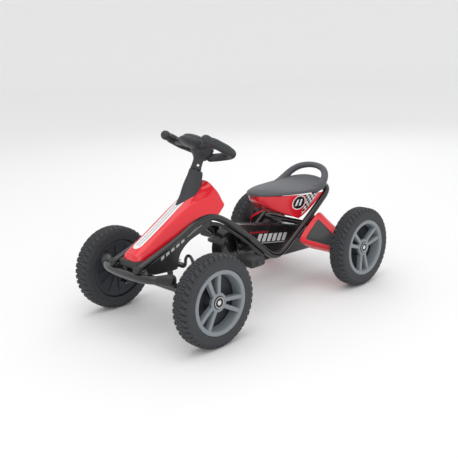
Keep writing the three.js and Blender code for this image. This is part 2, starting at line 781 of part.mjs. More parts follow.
function fairingSkin(inset, overrun) {
  const rings = [];
  const stations = 3;
  for (let i = 0; i <= stations; i++) {
    const t = (i / stations) * (1 + 2 * overrun) - overrun;
    const corners = fairingInner.map(([x, z], k) => [
      x + (fairingOuter[k][0] - x) * t, z + (fairingOuter[k][1] - z) * t]);
    rings.push(roundedRing(corners, fairingFromY + (fairingToY - fairingFromY) * t, inset));
  }
  return loft(rings);
}

const fairing = fairingSkin(0, 0).subtract(fairingSkin(fairingWall, 0.06));
addPair('rear_fairing', fairing, paint.red);

// ---- Seat: a moulded saddle with a looped back, on a red shell ---------------------------

// Each station gives x, the half width, and the heights of the underside, rim and middle.
const saddleStations = [
  [-56, 9, 277, 282, 285],
  [-62, 22, 276, 283, 288],
  [-73, 33, 275, 283, 291],
  [-90, 46, 274, 283, 293],
  [-118, 62, 273, 283, 293],
  [-155, 77, 272, 283, 292],
  [-200, 87, 270, 284, 291],
  [-245, 88, 267, 286, 293],
  [-280, 82, 264, 289, 297],
  [-305, 72, 262, 292, 301],
  [-318, 60, 262, 294, 302],
];

function saddleRing([x, halfWidth, underZ, rimZ, middleZ]) {
  const ring = [];
  const across = [-1, -0.97, -0.85, -0.6, -0.3, 0, 0.3, 0.6, 0.85, 0.97, 1];
  for (const share of across) {
    const crown = share ** 2;
    const edge = Math.abs(share) > 0.99 ? 5 : 0;
    ring.push(vector(x, halfWidth * share, middleZ + (rimZ - middleZ) * crown - edge));
  }
  ring.push(vector(x, halfWidth, underZ), vector(x, -halfWidth, underZ));
  return ring;
}

const loopHalf = [
  [-262, 79, 280],
  [-285, 77, 291],
  [-306, 68, 307],
  [-322, 50, 321],
  [-331, 25, 328],
];
const loopRun = [...loopHalf, [-333, 0, 330], ...loopHalf.map(([x, y, z]) => [x, -y, z]).reverse()];
const seat = union(loft(saddleStations.map(saddleRing)), bentRod(loopRun, 8.5, 22, 8));
add('seat', seat.subtract(bothGrownTubes), paint.seatGrey);

// Each station gives x, the half widths at the top and bottom, and the heights of the two.
const shellStations = [
  [-63, 16, 11, 275, 264],
  [-74, 27, 18, 274, 257],
  [-92, 42, 27, 273, 246],
  [-120, 58, 39, 272.3, 231],
  [-160, 73, 54, 271, 212],
  [-200, 82, 64, 269.4, 194],
  [-245, 82, 66, 266.4, 190],
  [-296, 78, 64, 262.5, 190],
];
const shellWall = 2.5;

function shellSkin(inset) {
  const last = shellStations.length - 1;
  return loft(shellStations.map(([x, topHalf, bottomHalf, topZ, bottomZ], i) => {
    const endShift = i === 0 ? -inset : i === last ? -10 * Math.sign(inset) : 0;
    const top = topHalf - inset;
    const bottom = bottomHalf - inset;
    const highZ = topZ + 4 * inset;
    const profile = [
      [-top, highZ], [-top, topZ - 5], [-bottom, bottomZ + inset],
      [bottom, bottomZ + inset], [top, topZ - 5], [top, highZ]];
    return profile.map(([y, z]) => vector(x + endShift, y, z));
  }));
}

const shellSideView = [[-40, 300], [-40, 180], [-170, 181], [-281, 259], [-300, 272], [-300, 300]];
const seatShell = shellSkin(0)
  .subtract(shellSkin(shellWall))
  .intersect(sidePlate(shellSideView, -95, 95))
  .subtract(rod([seatCrossX, -90, seatCrossZ], [seatCrossX, 90, seatCrossZ], seatCrossRadius + fit))
  .subtract(bothGrownTubes);
add('seat_shell', seatShell, paint.red);

export default kart;
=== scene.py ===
import math
import bpy
import numpy as np
from mathutils import Matrix


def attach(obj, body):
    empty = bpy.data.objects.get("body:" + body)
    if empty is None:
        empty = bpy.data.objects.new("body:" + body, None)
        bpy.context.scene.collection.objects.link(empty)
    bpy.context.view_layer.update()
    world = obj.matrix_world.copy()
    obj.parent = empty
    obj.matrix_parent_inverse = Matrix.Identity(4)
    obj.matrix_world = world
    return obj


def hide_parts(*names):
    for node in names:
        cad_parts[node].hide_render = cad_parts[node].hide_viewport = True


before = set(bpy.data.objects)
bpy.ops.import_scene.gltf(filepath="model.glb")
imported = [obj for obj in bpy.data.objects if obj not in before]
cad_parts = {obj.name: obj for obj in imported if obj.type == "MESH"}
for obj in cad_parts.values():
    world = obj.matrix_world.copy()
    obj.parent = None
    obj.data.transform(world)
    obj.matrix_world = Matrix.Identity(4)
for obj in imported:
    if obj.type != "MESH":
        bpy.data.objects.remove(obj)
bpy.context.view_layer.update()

# ---- Studio ------------------------------------------------------------------------------
# A pale floor that curves up into a wall, a wide soft light above and a weaker one at the
# side and at the back. The kart stands on the floor at its own origin.


def grid_faces(rows, columns, wrap=False):
    """Quads of a grid of rows x columns points; with wrap, the last column meets the first."""
    across = columns if wrap else columns - 1
    row, column = np.meshgrid(np.arange(rows - 1), np.arange(across), indexing="ij")
    after = (column + 1) % columns
    corners = [row * columns + column, row * columns + after,
               (row + 1) * columns + after, (row + 1) * columns + column]
    return np.stack(corners, -1).reshape(-1, 4)


def mesh_object(name, points, face_sets, material, crease=40):
    """A smooth-shaded mesh in metres from points in millimetres and arrays of polygons."""
    counts = np.concatenate([np.full(len(f), f.shape[1]) for f in face_sets])
    mesh = bpy.data.meshes.new(name)
    mesh.vertices.add(len(points))
    mesh.vertices.foreach_set("co", (np.asarray(points, float) * 0.001).ravel())
    corners = np.concatenate([f.ravel() for f in face_sets])
    mesh.loops.add(len(corners))
    mesh.loops.foreach_set("vertex_index", corners)
    mesh.polygons.add(len(counts))
    mesh.polygons.foreach_set("loop_start", np.concatenate([[0], np.cumsum(counts)[:-1]]))
    mesh.polygons.foreach_set("use_smooth", np.ones(len(counts), bool))
    mesh.update(calc_edges=True)
    mesh.validate()
    mesh.set_sharp_from_angle(angle=math.radians(crease))
    mesh.materials.append(material)
    piece = bpy.data.objects.new(name, mesh)
    bpy.context.collection.objects.link(piece)
    return piece


def shader(name, roughness, coat=0.0, metallic=0.0):
    """An empty material: (material, node tree, principled shader) with its plain values set."""
    material = bpy.data.materials.new(name)
    material.use_nodes = True
    tree = material.node_tree
    principled = tree.nodes["Principled BSDF"]
    principled.inputs["Roughness"].default_value = roughness
    principled.inputs["Coat Weight"].default_value = coat
    principled.inputs["Coat Roughness"].default_value = 0.08
    principled.inputs["Metallic"].default_value = metallic
    return material, tree, principled


paper, paper_tree, paper_shader = shader("studio_paper", 0.9)
paper_noise = paper_tree.nodes.new("ShaderNodeTexNoise")
paper_noise.inputs["Scale"].default_value = 1.5
paper_tone = paper_tree.nodes.new("ShaderNodeValToRGB")
paper_tone.color_ramp.elements[0].color = (0.93, 0.93, 0.935, 1)
paper_tone.color_ramp.elements[1].color = (0.96, 0.96, 0.96, 1)
paper_tree.links.new(paper_noise.outputs["Fac"], paper_tone.inputs["Fac"])
paper_tree.links.new(paper_tone.outputs["Color"], paper_shader.inputs["Base Color"])

front_edge, wall_start, cove_radius, half_width, wall_top = 6000, -9000, 1500, 9000, 9000
cove_turn = np.linspace(0, math.pi / 2, 12)
cove_run = np.concatenate([[front_edge], wall_start - cove_radius * np.sin(cove_turn),
                           [wall_start - cove_radius]])
cove_height = np.concatenate([[0], cove_radius * (1 - np.cos(cove_turn)), [wall_top]])
along, across = np.meshgrid(cove_run, [-half_width, half_width], indexing="ij")
facing = math.radians(46.4)
floor_points = np.stack([
    along * math.cos(facing) - across * math.sin(facing),
    along * math.sin(facing) + across * math.cos(facing),
    np.broadcast_to(cove_height[:, None], across.shape)], -1).reshape(-1, 3)
floor = mesh_object("studio_floor", floor_points, [grid_faces(len(cove_run), 2)[:, ::-1]], paper)


def soft_light(name, place, target, size, watts):
    """A square area light at a place, turned towards a target."""
    data = bpy.data.lights.new(name, "AREA")
    data.shape = "SQUARE"
    data.size = size
    data.energy = watts
    lamp = bpy.data.objects.new(name, data)
    bpy.context.collection.objects.link(lamp)
    lamp.location = place
    away = np.subtract(place, target)
    yaw = math.atan2(away[1], away[0])
    lamp.rotation_euler = (math.acos(away[2] / np.linalg.norm(away)), 0, yaw + math.pi / 2)


soft_light("top_softbox", (0.6, 0.4, 2.6), (0, 0, 0.1), 2.4, 17)
soft_light("side_softbox", (1.2, 2.8, 1.2), (0, 0, 0.2), 1.6, 9)
soft_light("back_softbox", (-2.2, -1.6, 2.0), (0, 0, 0.2), 1.8, 10)
sky = bpy.data.worlds.new("studio_sky")
bpy.context.scene.world = sky
sky.use_nodes = True
sky.node_tree.nodes["Background"].inputs["Color"].default_value = (1, 1, 1, 1)
sky.node_tree.nodes["Background"].inputs["Strength"].default_value = 0.84
bpy.context.scene.view_settings.view_transform = "Standard"

camera_yaw, camera_pitch, camera_roll = np.radians([-133.553, 15.268, -2.194])
ahead = np.array([math.cos(camera_yaw) * math.cos(camera_pitch),
                  math.sin(camera_yaw) * math.cos(camera_pitch), -math.sin(camera_pitch)])
level = np.array([math.sin(camera_yaw), -math.cos(camera_yaw), 0])
upright = np.cross(level, ahead)
camera_right = math.cos(camera_roll) * level + math.sin(camera_roll) * upright
camera_up = -math.sin(camera_roll) * level + math.cos(camera_roll) * upright
camera_data = bpy.data.cameras.new("camera")
camera_data.lens = 54.905
camera_data.sensor_width = 36
camera = bpy.data.objects.new("camera", camera_data)
bpy.context.collection.objects.link(camera)
camera_matrix = np.eye(4)
camera_matrix[:3] = np.stack([camera_right, camera_up, -ahead, (1.33067, 1.36301, 0.71658)], 1)
camera.matrix_world = Matrix(camera_matrix.tolist())
bpy.context.scene.camera = camera

# ---- Surface finish ----------------------------------------------------------------------
# Moulded plastic, powder coat and plated steel all vary a little in tone and gloss and
# have a fine grain. One node group gives the three, and each finish has its own values.


class Field:
    """A value in a node tree. Arithmetic on it adds Math nodes and gives a new Field; a
    comparison gives 1 or 0, and & joins two of those."""

    def __init__(self, tree, socket):
        self.tree, self.socket = tree, socket

    def math(self, operation, *others):
        """One Math node on this value and others, which are Fields or numbers."""
        node = self.tree.nodes.new("ShaderNodeMath")
        node.operation = operation
        for slot, value in zip(node.inputs, (self, *others)):
            if isinstance(value, Field):
                self.tree.links.new(value.socket, slot)
            else:
                slot.default_value = value
        return Field(self.tree, node.outputs[0])

    def __add__(self, other):
        return self.math("ADD", other)

    def __sub__(self, other):
        return self.math("SUBTRACT", other)

    def __mul__(self, other):
        return self.math("MULTIPLY", other)

    def __truediv__(self, other):
        return self.math("DIVIDE", other)

    def __lt__(self, other):
        return self.math("LESS_THAN", other)

    def __gt__(self, other):
        return self.math("GREATER_THAN", other)

    def __abs__(self):
        return self.math("ABSOLUTE")

    __and__ = __mul__


def surface_group():
    """Tone = colour x (1 + mottle x noise); roughness and height each add their own noise."""
    group = bpy.data.node_groups.new("moulded_surface", "ShaderNodeTree")
    for name, kind in (("Color", "NodeSocketColor"), ("Mottle", "NodeSocketFloat"),
                       ("Roughness", "NodeSocketFloat"), ("Spread", "NodeSocketFloat"),
                       ("Patch", "NodeSocketFloat"), ("Grain", "NodeSocketFloat")):
        group.interface.new_socket(name, in_out="INPUT", socket_type=kind)
    for name, kind in (("Color", "NodeSocketColor"), ("Roughness", "NodeSocketFloat"),
                       ("Height", "NodeSocketFloat")):
        group.interface.new_socket(name, in_out="OUTPUT", socket_type=kind)
    entry = group.nodes.new("NodeGroupInput")
    leave = group.nodes.new("NodeGroupOutput")
    place = group.nodes.new("ShaderNodeTexCoord").outputs["Object"]
    noises = {}
    for name, socket, detail in (("patch", "Patch", 4.0), ("grain", "Grain", 2.0)):
        noise = group.nodes.new("ShaderNodeTexNoise")
        noise.inputs["Detail"].default_value = detail
        group.links.new(place, noise.inputs["Vector"])
        group.links.new(entry.outputs[socket], noise.inputs["Scale"])
        noises[name] = noise.outputs["Fac"]
    given = {socket.name: Field(group, socket) for socket in entry.outputs}
    swing = Field(group, noises["patch"]) - 0.5
    tone = swing * given["Mottle"] + 1.0
    scaled = group.nodes.new("ShaderNodeVectorMath")
    scaled.operation = "SCALE"
    group.links.new(entry.outputs["Color"], scaled.inputs[0])
    group.links.new(tone.socket, scaled.inputs["Scale"])
    group.links.new(scaled.outputs[0], leave.inputs["Color"])
    rough = swing * given["Spread"] + given["Roughness"]
    group.links.new(rough.socket, leave.inputs["Roughness"])
    group.links.new(noises["grain"], leave.inputs["Height"])
    return group


moulded_surface = surface_group()


def finish(name, color, roughness, mottle=0.15, spread=0.12, patch=25.0, grain=900.0,
           depth=0.00012, coat=0.0, metallic=0.0, paint=None):
    """A material on the surface group. paint(x, y, z), on Object coordinates in mm, may give
    layers of (mask, colour) that are laid over the base colour in turn."""
    material, tree, principled = shader(name, roughness, coat, metallic)
    color_socket = None
    if paint:
        split = tree.nodes.new("ShaderNodeSeparateXYZ")
        tree.links.new(tree.nodes.new("ShaderNodeTexCoord").outputs["Object"], split.inputs[0])
        for mask, over in paint(*[Field(tree, socket) * 1000.0 for socket in split.outputs]):
            mix = tree.nodes.new("ShaderNodeMix")
            mix.data_type = "RGBA"
            under, top = mix.inputs[6], mix.inputs[7]
            tree.links.new(mask.socket, mix.inputs["Factor"])
            under.default_value = (*color, 1)
            if color_socket:
                tree.links.new(color_socket, under)
            top.default_value = (*over, 1)
            color_socket = mix.outputs[2]
    surface = tree.nodes.new("ShaderNodeGroup")
    surface.node_tree = moulded_surface
    for socket, value in (("Color", (*color, 1)), ("Mottle", mottle), ("Roughness", roughness),
                          ("Spread", spread), ("Patch", patch), ("Grain", grain)):
        surface.inputs[socket].default_value = value
    if color_socket:
        tree.links.new(color_socket, surface.inputs["Color"])
    tree.links.new(surface.outputs["Color"], principled.inputs["Base Color"])
    tree.links.new(surface.outputs["Roughness"], principled.inputs["Roughness"])
    bump = tree.nodes.new("ShaderNodeBump")
    bump.inputs["Distance"].default_value = depth
    bump.inputs["Strength"].default_value = 0.5
    tree.links.new(surface.outputs["Height"], bump.inputs["Height"])
    tree.links.new(bump.outputs["Normal"], principled.inputs["Normal"])
    return material


# ---- Frame tubes -------------------------------------------------------------------------
# Two steel tubes bent over the crank and down under the seat, powder coated gloss black.
# Each runs back and round to the middle of the hoop behind the seat.

powder_coat = finish("black_powder_coat", (0.006, 0.0065, 0.0075), 0.22, depth=0.00006, coat=0.5)


def smooth_path(points, count):
    """Centripetal Catmull-Rom through the points, at count even steps of arc length."""
    known = np.asarray(points, float)
    known = np.vstack([2 * known[0] - known[1], known, 2 * known[-1] - known[-2]])
    knots = np.concatenate([[0], np.cumsum(np.linalg.norm(np.diff(known, axis=0), axis=1) ** 0.5)])
    dense = np.linspace(knots[1], knots[-2], 40 * len(points))
    span = np.clip(np.searchsorted(knots, dense, side="right") - 1, 1, len(known) - 3)
    t, k = dense[:, None], [knots[span + i][:, None] for i in (-1, 0, 1, 2)]
    p = [known[span + i] for i in (-1, 0, 1, 2)]
    a = [((k[i + 1] - t) * p[i] + (t - k[i]) * p[i + 1]) / (k[i + 1] - k[i]) for i in range(3)]
    b = [((k[i + 2] - t) * a[i] + (t - k[i]) * a[i + 1]) / (k[i + 2] - k[i]) for i in range(2)]
    curve = ((k[2] - t) * b[0] + (t - k[1]) * b[1]) / (k[2] - k[1])
    length = np.concatenate([[0], np.cumsum(np.linalg.norm(np.diff(curve, axis=0), axis=1))])
    even = np.linspace(0, length[-1], count)
    return np.stack([np.interp(even, length, curve[:, i]) for i in range(curve.shape[1])], 1)


def circle(count):
    """Angles of count even steps round a full turn."""
    return np.linspace(0, 2 * math.pi, count, endpoint=False)


def skin(rings, close=True):
    """A tube of skin over rings (stations, points round, 3); close fans both ends shut."""
    rings = np.asarray(rings, float)
    stations, around = rings.shape[:2]
    points = rings.reshape(-1, 3)
    faces = [grid_faces(stations, around, wrap=True)]
    if close:
        points = np.vstack([points, rings[0].mean(0), rings[-1].mean(0)])
        here = np.arange(around)
        after = (here + 1) % around
        first, last = len(points) - 2, (stations - 1) * around
        faces.append(np.stack([np.full(around, first), after, here], 1))
        faces.append(np.stack([np.full(around, first + 1), last + here, last + after], 1))
    return points, faces


def volume(points, faces):
    """Signed volume of a skin: the sum over faces of the first corner dot the fan's crosses."""
    total = 0.0
    for face in faces:
        for i in range(1, face.shape[1] - 1):
            a, b, c = points[face[:, 0]], points[face[:, i]], points[face[:, i + 1]]
            total += np.einsum("ij,ij->", a, np.cross(b, c))
    return total


def outward(shell):
    """The same closed shell with its faces turned to point outwards."""
    points, faces = shell
    if volume(points - points.mean(0), faces) < 0:
        faces = [face[:, ::-1] for face in faces]
    return points, faces


def joined(shells):
    """Several closed shells as one set of points and faces."""
    points, faces, start = [], [], 0
    for shell in shells:
        shell_points, shell_faces = outward(shell)
        points.append(shell_points)
        faces.extend(face + start for face in shell_faces)
        start += len(shell_points)
    return np.vstack(points), faces


def swept(path, radius, sides=20, up=(0, 0, 1), rounded=(False, False), flat=1.0):
    """A circle carried along a path: centre + r cos a * side + r sin a * normal. The radius
    may vary along the path, flat squeezes it along the normal, and an end may be domed."""
    path = np.asarray(path, float)
    radius = np.broadcast_to(np.asarray(radius, float), (len(path),))
    along = np.gradient(path, axis=0)
    along /= np.linalg.norm(along, axis=1)[:, None]
    dome = np.radians([80, 60, 40, 20])[:, None]
    if rounded[0]:
        cap = path[0] - along[0] * radius[0] * np.sin(dome)
        path, along = np.vstack([cap, path]), np.vstack([np.repeat(along[:1], 4, 0), along])
        radius = np.concatenate([radius[0] * np.cos(dome[:, 0]), radius])
    if rounded[1]:
        cap = path[-1] + along[-1] * radius[-1] * np.sin(dome[::-1])
        path, along = np.vstack([path, cap]), np.vstack([along, np.repeat(along[-1:], 4, 0)])
        radius = np.concatenate([radius, radius[-1] * np.cos(dome[::-1, 0])])
    side = np.cross(up, along)
    side /= np.linalg.norm(side, axis=1)[:, None]
    normal = np.cross(along, side)
    angle = circle(sides)[None, :, None]
    reach = radius[:, None, None]
    rings = (path[:, None] + reach * np.cos(angle) * side[:, None]
             + reach * flat * np.sin(angle) * normal[:, None])
    return skin(rings)


def bar(start, end, radius, sides=20, end_radius=None, chamfer=0.6):
    """A straight round bar with a small chamfer at each end."""
    start, end = np.asarray(start, float), np.asarray(end, float)
    along = (end - start) / np.linalg.norm(end - start)
    last = radius if end_radius is None else end_radius
    up = (1, 0, 0) if abs(along[0]) < 0.7 else (0, 0, 1)
    path = np.array([start, start + along * chamfer, end - along * chamfer, end])
    return swept(path, [radius - chamfer, radius, last, last - chamfer], sides, up)


def mirror(shell):
    """The shell on the other side of the kart: y becomes -y."""
    points, faces = shell
    return points * [1, -1, 1], faces


def both(shells):
    """Shells and their mirror images."""
    return [*shells, *[mirror(shell) for shell in shells]]


def add_piece(name, shells, material, body="frame", nodes=(), crease=40):
    """Joins closed shells into one piece that rides on a body and stands for CAD nodes."""
    points, faces = joined(shells)
    piece = mesh_object(name, points, faces, material, crease)
    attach(piece, body)
    if nodes:
        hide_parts(*nodes)


def add_pair(name, shells, material, node, body="frame", crease=40):
    """A left piece and its mirror image; a body given as {} is filled with left or right."""
    for hand, placed in (("left", shells), ("right", [mirror(shell) for shell in shells])):
        add_piece(f"{name}_{hand}", placed, material, body.format(hand),
                  [f"{node}_{hand}"], crease)


tube_radius = 9.5
tube_run = [
    (389, 50, 185.5), (319, 50, 211), (255, 50, 236), (205, 50, 259), (172, 51, 268),
    (145, 53, 269), (115, 56, 257), (53, 62, 214), (4, 69, 171), (-36, 76, 134),
    (-55, 78, 121), (-78, 79, 117.5), (-102, 79, 125), (-127, 79, 140), (-181, 79, 176),
    (-237, 79, 214), (-275, 79, 242), (-292, 78, 254), (-311, 70, 266), (-324, 54, 273),
    (-329, 32, 275), (-330, 14, 276), (-330, 0.3, 276)]
tube = swept(smooth_path(tube_run, 180), tube_radius, 24)
add_pair("tube", [tube], powder_coat, "frame_tube")
cross_tube = bar((-196, -74, 185), (-196, 74, 185), 8, 24)
add_piece("seat_tube", [cross_tube], powder_coat, nodes=["seat_cross_tube"])

# ---- Tube plugs and bumper ---------------------------------------------------------------
# Soft black plastic plugs close the front ends of the tubes. Under them a bow of black
# tube carries a bulb-shaped rubbery end cap on each side, with a moulded seam ring.

soft_black = finish("soft_black_plastic", (0.012, 0.0125, 0.014), 0.42, mottle=0.25, coat=0.1)


def lathed(profile, centre=(0, 0, 0), axis=(0, 1, 0), sides=48, ring=False):
    """A profile of (radius, distance along the axis) turned about an axis through a point.
    With ring the profile is a closed loop and the result has a hole through it."""
    profile = np.asarray(profile, float)
    axis = np.asarray(axis, float) / np.linalg.norm(axis)
    start = np.cross(axis, (0, 0, 1) if abs(axis[2]) < 0.9 else (1, 0, 0))
    start /= np.linalg.norm(start)
    other = np.cross(axis, start)
    angle = circle(sides)[None, :, None]
    round_it = np.cos(angle) * start + np.sin(angle) * other
    rings = centre + profile[:, :1, None] * round_it + profile[:, 1:, None] * axis
    if not ring:
        return skin(rings)
    rows = len(rings)
    faces = grid_faces(rows + 1, sides, wrap=True) % (rows * sides)
    return outward((rings.reshape(-1, 3), [faces]))


tube_way = (70, 0, -25.5)
plug_profile = [(9.4, -6), (9.7, -1), (11, 0), (11.4, 1), (11.4, 4), (10.8, 7.4), (9, 10.2),
                (6, 11.9), (2.5, 12.6), (0.4, 12.7)]
plug = lathed(plug_profile, tube_run[0], tube_way)
add_pair("plug", [plug], soft_black, "tube_cap")

bow_height = 168
bow_half = [(374, 107, bow_height), (384, 92, bow_height), (393, 66, bow_height),
            (396.5, 35, bow_height)]
bow_run = [*bow_half, (397.5, 0, bow_height), *[(x, -y, z) for x, y, z in bow_half[::-1]]]
bow = swept(smooth_path(bow_run, 70), 10.5, 24)
add_piece("bow", [bow], powder_coat, nodes=["bumper_bow"])

bulb_profile = [(10.3, -4), (11.6, -2), (11.9, 2), (11.7, 5), (12.4, 6), (13.2, 12), (14.3, 20),
                (14.9, 27), (14.9, 31), (14.2, 35.5), (12.4, 39.6), (9, 42.2), (4.5, 43.4),
                (0.4, 43.6)]
bulb = lathed(bulb_profile, bow_half[0], (-16, 22, 0.5))
add_pair("bulb", [bulb], soft_black, "bumper_cap")

# ---- Front axle --------------------------------------------------------------------------
# A black cross tube with a bent steel channel on each end, which holds the kingpin, and
# two flat struts welded up to the frame tubes. Kingpins are plated bolts.


def smooth_outline(outline, sharpness=0.82, rounds=2):
    """Corner cutting: each corner becomes two, at the given share along its edges."""
    outline = np.asarray(outline, float)
    for _ in range(rounds):
        before, after = np.roll(outline, 1, 0), np.roll(outline, -1, 0)
        pair = [outline * sharpness + before * (1 - sharpness),
                outline * sharpness + after * (1 - sharpness)]
        outline = np.stack(pair, 1).reshape(-1, 2)
        sharpness = 0.75
    return outline


def plate(outline, low, high, edge=0.8, axis=1):
    """A flat plate: an outline in the plane across an axis, carried along that axis, with a
    chamfer where each flat side meets the rim. Outline corners move in along their normals."""
    outline = np.asarray(outline, float)
    along = np.roll(outline, -1, 0) - np.roll(outline, 1, 0)
    normal = np.stack([along[:, 1], -along[:, 0]], 1) / np.linalg.norm(along, axis=1)[:, None]
    ahead = np.roll(outline, -1, 0)
    turn = np.sum(outline[:, 0] * ahead[:, 1] - ahead[:, 0] * outline[:, 1])
    inner = outline - normal * edge * np.sign(turn)
    levels = [(inner, low), (outline, low + edge), (outline, high - edge), (inner, high)]
    rings = np.stack([np.insert(flat, axis, level, axis=1) for flat, level in levels])
    around = len(outline)
    points = rings.reshape(-1, 3)
    lids = [np.arange(around)[None, ::-1], (3 * around + np.arange(around))[None]]
    return points, [grid_faces(4, around, wrap=True), *lids]


def block(centre, size, edge=0.6, axis=1):
    """A rectangular block with chamfered edges, as a plate across the given axis."""
    others = [i for i in range(3) if i != axis]
    half = [size[i] / 2 for i in others]
    middle = [centre[i] for i in others]
    corners = [(middle[0] + sx * half[0], middle[1] + sy * half[1])
               for sx, sy in ((-1, -1), (1, -1), (1, 1), (-1, 1))]
    low, high = centre[axis] - size[axis] / 2, centre[axis] + size[axis] / 2
    return plate(smooth_outline(corners, 0.93, 1), low, high, edge, axis)


axle_x, axle_z, kingpin_y = 287, 115, 150
channel = [block((axle_x, 129, axle_z), (26, 5, 60)),
           block((axle_x, 145, axle_z + 27.5), (26, 36, 5), axis=2),
           block((axle_x, 145, axle_z - 27.5), (26, 36, 5), axis=2),
           block((axle_x, 43.5, 166), (16, 5, 104))]
beam = [bar((axle_x, -128, axle_z), (axle_x, 128, axle_z), 12, 32), *both(channel)]
add_piece("axle_beam", beam, powder_coat, nodes=["front_axle_beam"])

bright_zinc = finish("bright_zinc", (0.62, 0.62, 0.63), 0.3, metallic=1.0, spread=0.3, patch=120.0)


def hexagon(radius, low, high, at):
    """An upright six-sided head with chamfered ends, between two heights above a point."""
    profile = [(radius - 0.8, low), (radius, low + 0.7), (radius, high - 0.7),
               (radius - 0.8, high)]
    return lathed(profile, at, (0, 0, 1), 6)


kingpin_at = (axle_x, kingpin_y, axle_z)
kingpin = [bar((axle_x, kingpin_y, axle_z - 33), (axle_x, kingpin_y, axle_z + 34), 4),
           hexagon(7, 30.3, 35, kingpin_at), hexagon(7, -36, -30.3, kingpin_at)]
add_pair("pin", kingpin, bright_zinc, "kingpin", crease=25)

# ---- Knuckles and tie rod ----------------------------------------------------------------
# Each knuckle is a sleeve on its kingpin with a stub axle and a flat steering arm, dark
# plated. The tie rod is one bar bent over two humps and welded to a slotted plate.

dark_plate = finish("dark_plated_steel", (0.07, 0.07, 0.075), 0.36, metallic=0.85, spread=0.25)
arm_length, arm_z, rod_z = 55, 131, 150
eye_x = axle_x - arm_length
knuckle = [bar((axle_x, kingpin_y, axle_z - 24.5), (axle_x, kingpin_y, axle_z + 24.5), 9, 28),
           bar((axle_x, kingpin_y + 4, axle_z), (axle_x, 216, axle_z), 8, 28),
           bar((axle_x, kingpin_y + 8, axle_z), (axle_x, kingpin_y + 22, axle_z), 12, 28),
           block((axle_x - arm_length / 2, kingpin_y, arm_z), (arm_length, 12, 6), axis=2),
           lathed([(5.5, -3), (8.6, -3), (9, -2.6), (9, 2.6), (8.6, 3), (5.5, 3)],
                  (eye_x, kingpin_y, arm_z), (0, 0, 1), 32, ring=True)]
add_pair("steering_arm", knuckle, dark_plate, "knuckle", "{}_knuckle")

rod_half = [(eye_x, 14, rod_z), (eye_x, 30, rod_z), (eye_x, 38, rod_z + 6),
            (eye_x, 42, rod_z + 24), (eye_x, 50, rod_z + 33), (eye_x, 60, rod_z + 33),
            (eye_x, 68, rod_z + 24), (eye_x, 72, rod_z + 6), (eye_x, 80, rod_z),
            (eye_x, 110, rod_z), (eye_x, kingpin_y, rod_z)]
rod_side = [swept(smooth_path(rod_half, 90), 4, 16, up=(1, 0, 0), rounded=(False, True)),
            bar((eye_x, kingpin_y, rod_z - 26), (eye_x, kingpin_y, rod_z + 4), 4)]
slot_frame = [block((eye_x + x, y, rod_z), size, axis=2) for x, y, size in (
    (-14, 0, (8, 34, 5)), (23, 0, (10, 34, 5)), (4, 12, (28.6, 10, 5)), (4, -12, (28.6, 10, 5)))]
linkage = [*both(rod_side), *slot_frame]
add_piece("linkage", linkage, dark_plate, "tie_rod", ["tie_rod"])

# ---- Nose cover --------------------------------------------------------------------------
# A thin injection-moulded shell in gloss red: flat on top with soft shoulders, dished
# beside the boot, and flared over the tubes at its rear. A white band is printed on it.


def nose_stripes(x, y, z):
    """White where max(x - 346, 0)^2 + y^2 < 14^2 ahead of the boot, with two grey lines."""
    half_band, round_from, boot_front, line_at, lines_end = 14.0, 346.0, 205.0, 4.7, 350.0
    beyond = (x - round_from).math("MAXIMUM", 0.0)
    band = (beyond * beyond + y * y < half_band ** 2) & (x > boot_front)
    lines = (abs(abs(y) - line_at) < 1.0) & band & (x < lines_end)
    return [(band, (0.86, 0.86, 0.86)), (lines, (0.1, 0.1, 0.11))]


def gloss_red(name, roughness, coat, paint):
    """The red of every cover, with its own print."""
    return finish(name, (0.8, 0.007, 0.02), roughness, mottle=0.08, spread=0.08,
                  depth=0.00004, coat=coat, paint=paint)


striped_red = gloss_red("striped_red_plastic", 0.24, 0.6, nose_stripes)

# x, height of the top, half width, and how boxy the arch is
nose_stations = smooth_path([
    (371, 216, 32, 50), (362, 222, 34, 50), (340, 234, 36, 52), (300, 257, 39, 55),
    (260, 281, 43, 60), (225, 303, 48, 65), (200, 318, 53, 70), (175, 333, 60, 75),
    (150, 346, 66, 80), (125, 354, 69, 85), (85, 362, 70, 90)], 160)[::-1]
nose_hem = np.array([
    (99, 296), (104, 289), (120, 277), (134, 267), (146, 263), (156, 265), (164, 273), (173, 276),
    (188, 270), (215, 257), (262, 234), (319, 209), (371, 194.5), (380, 194)], float)
nose_floor = 150


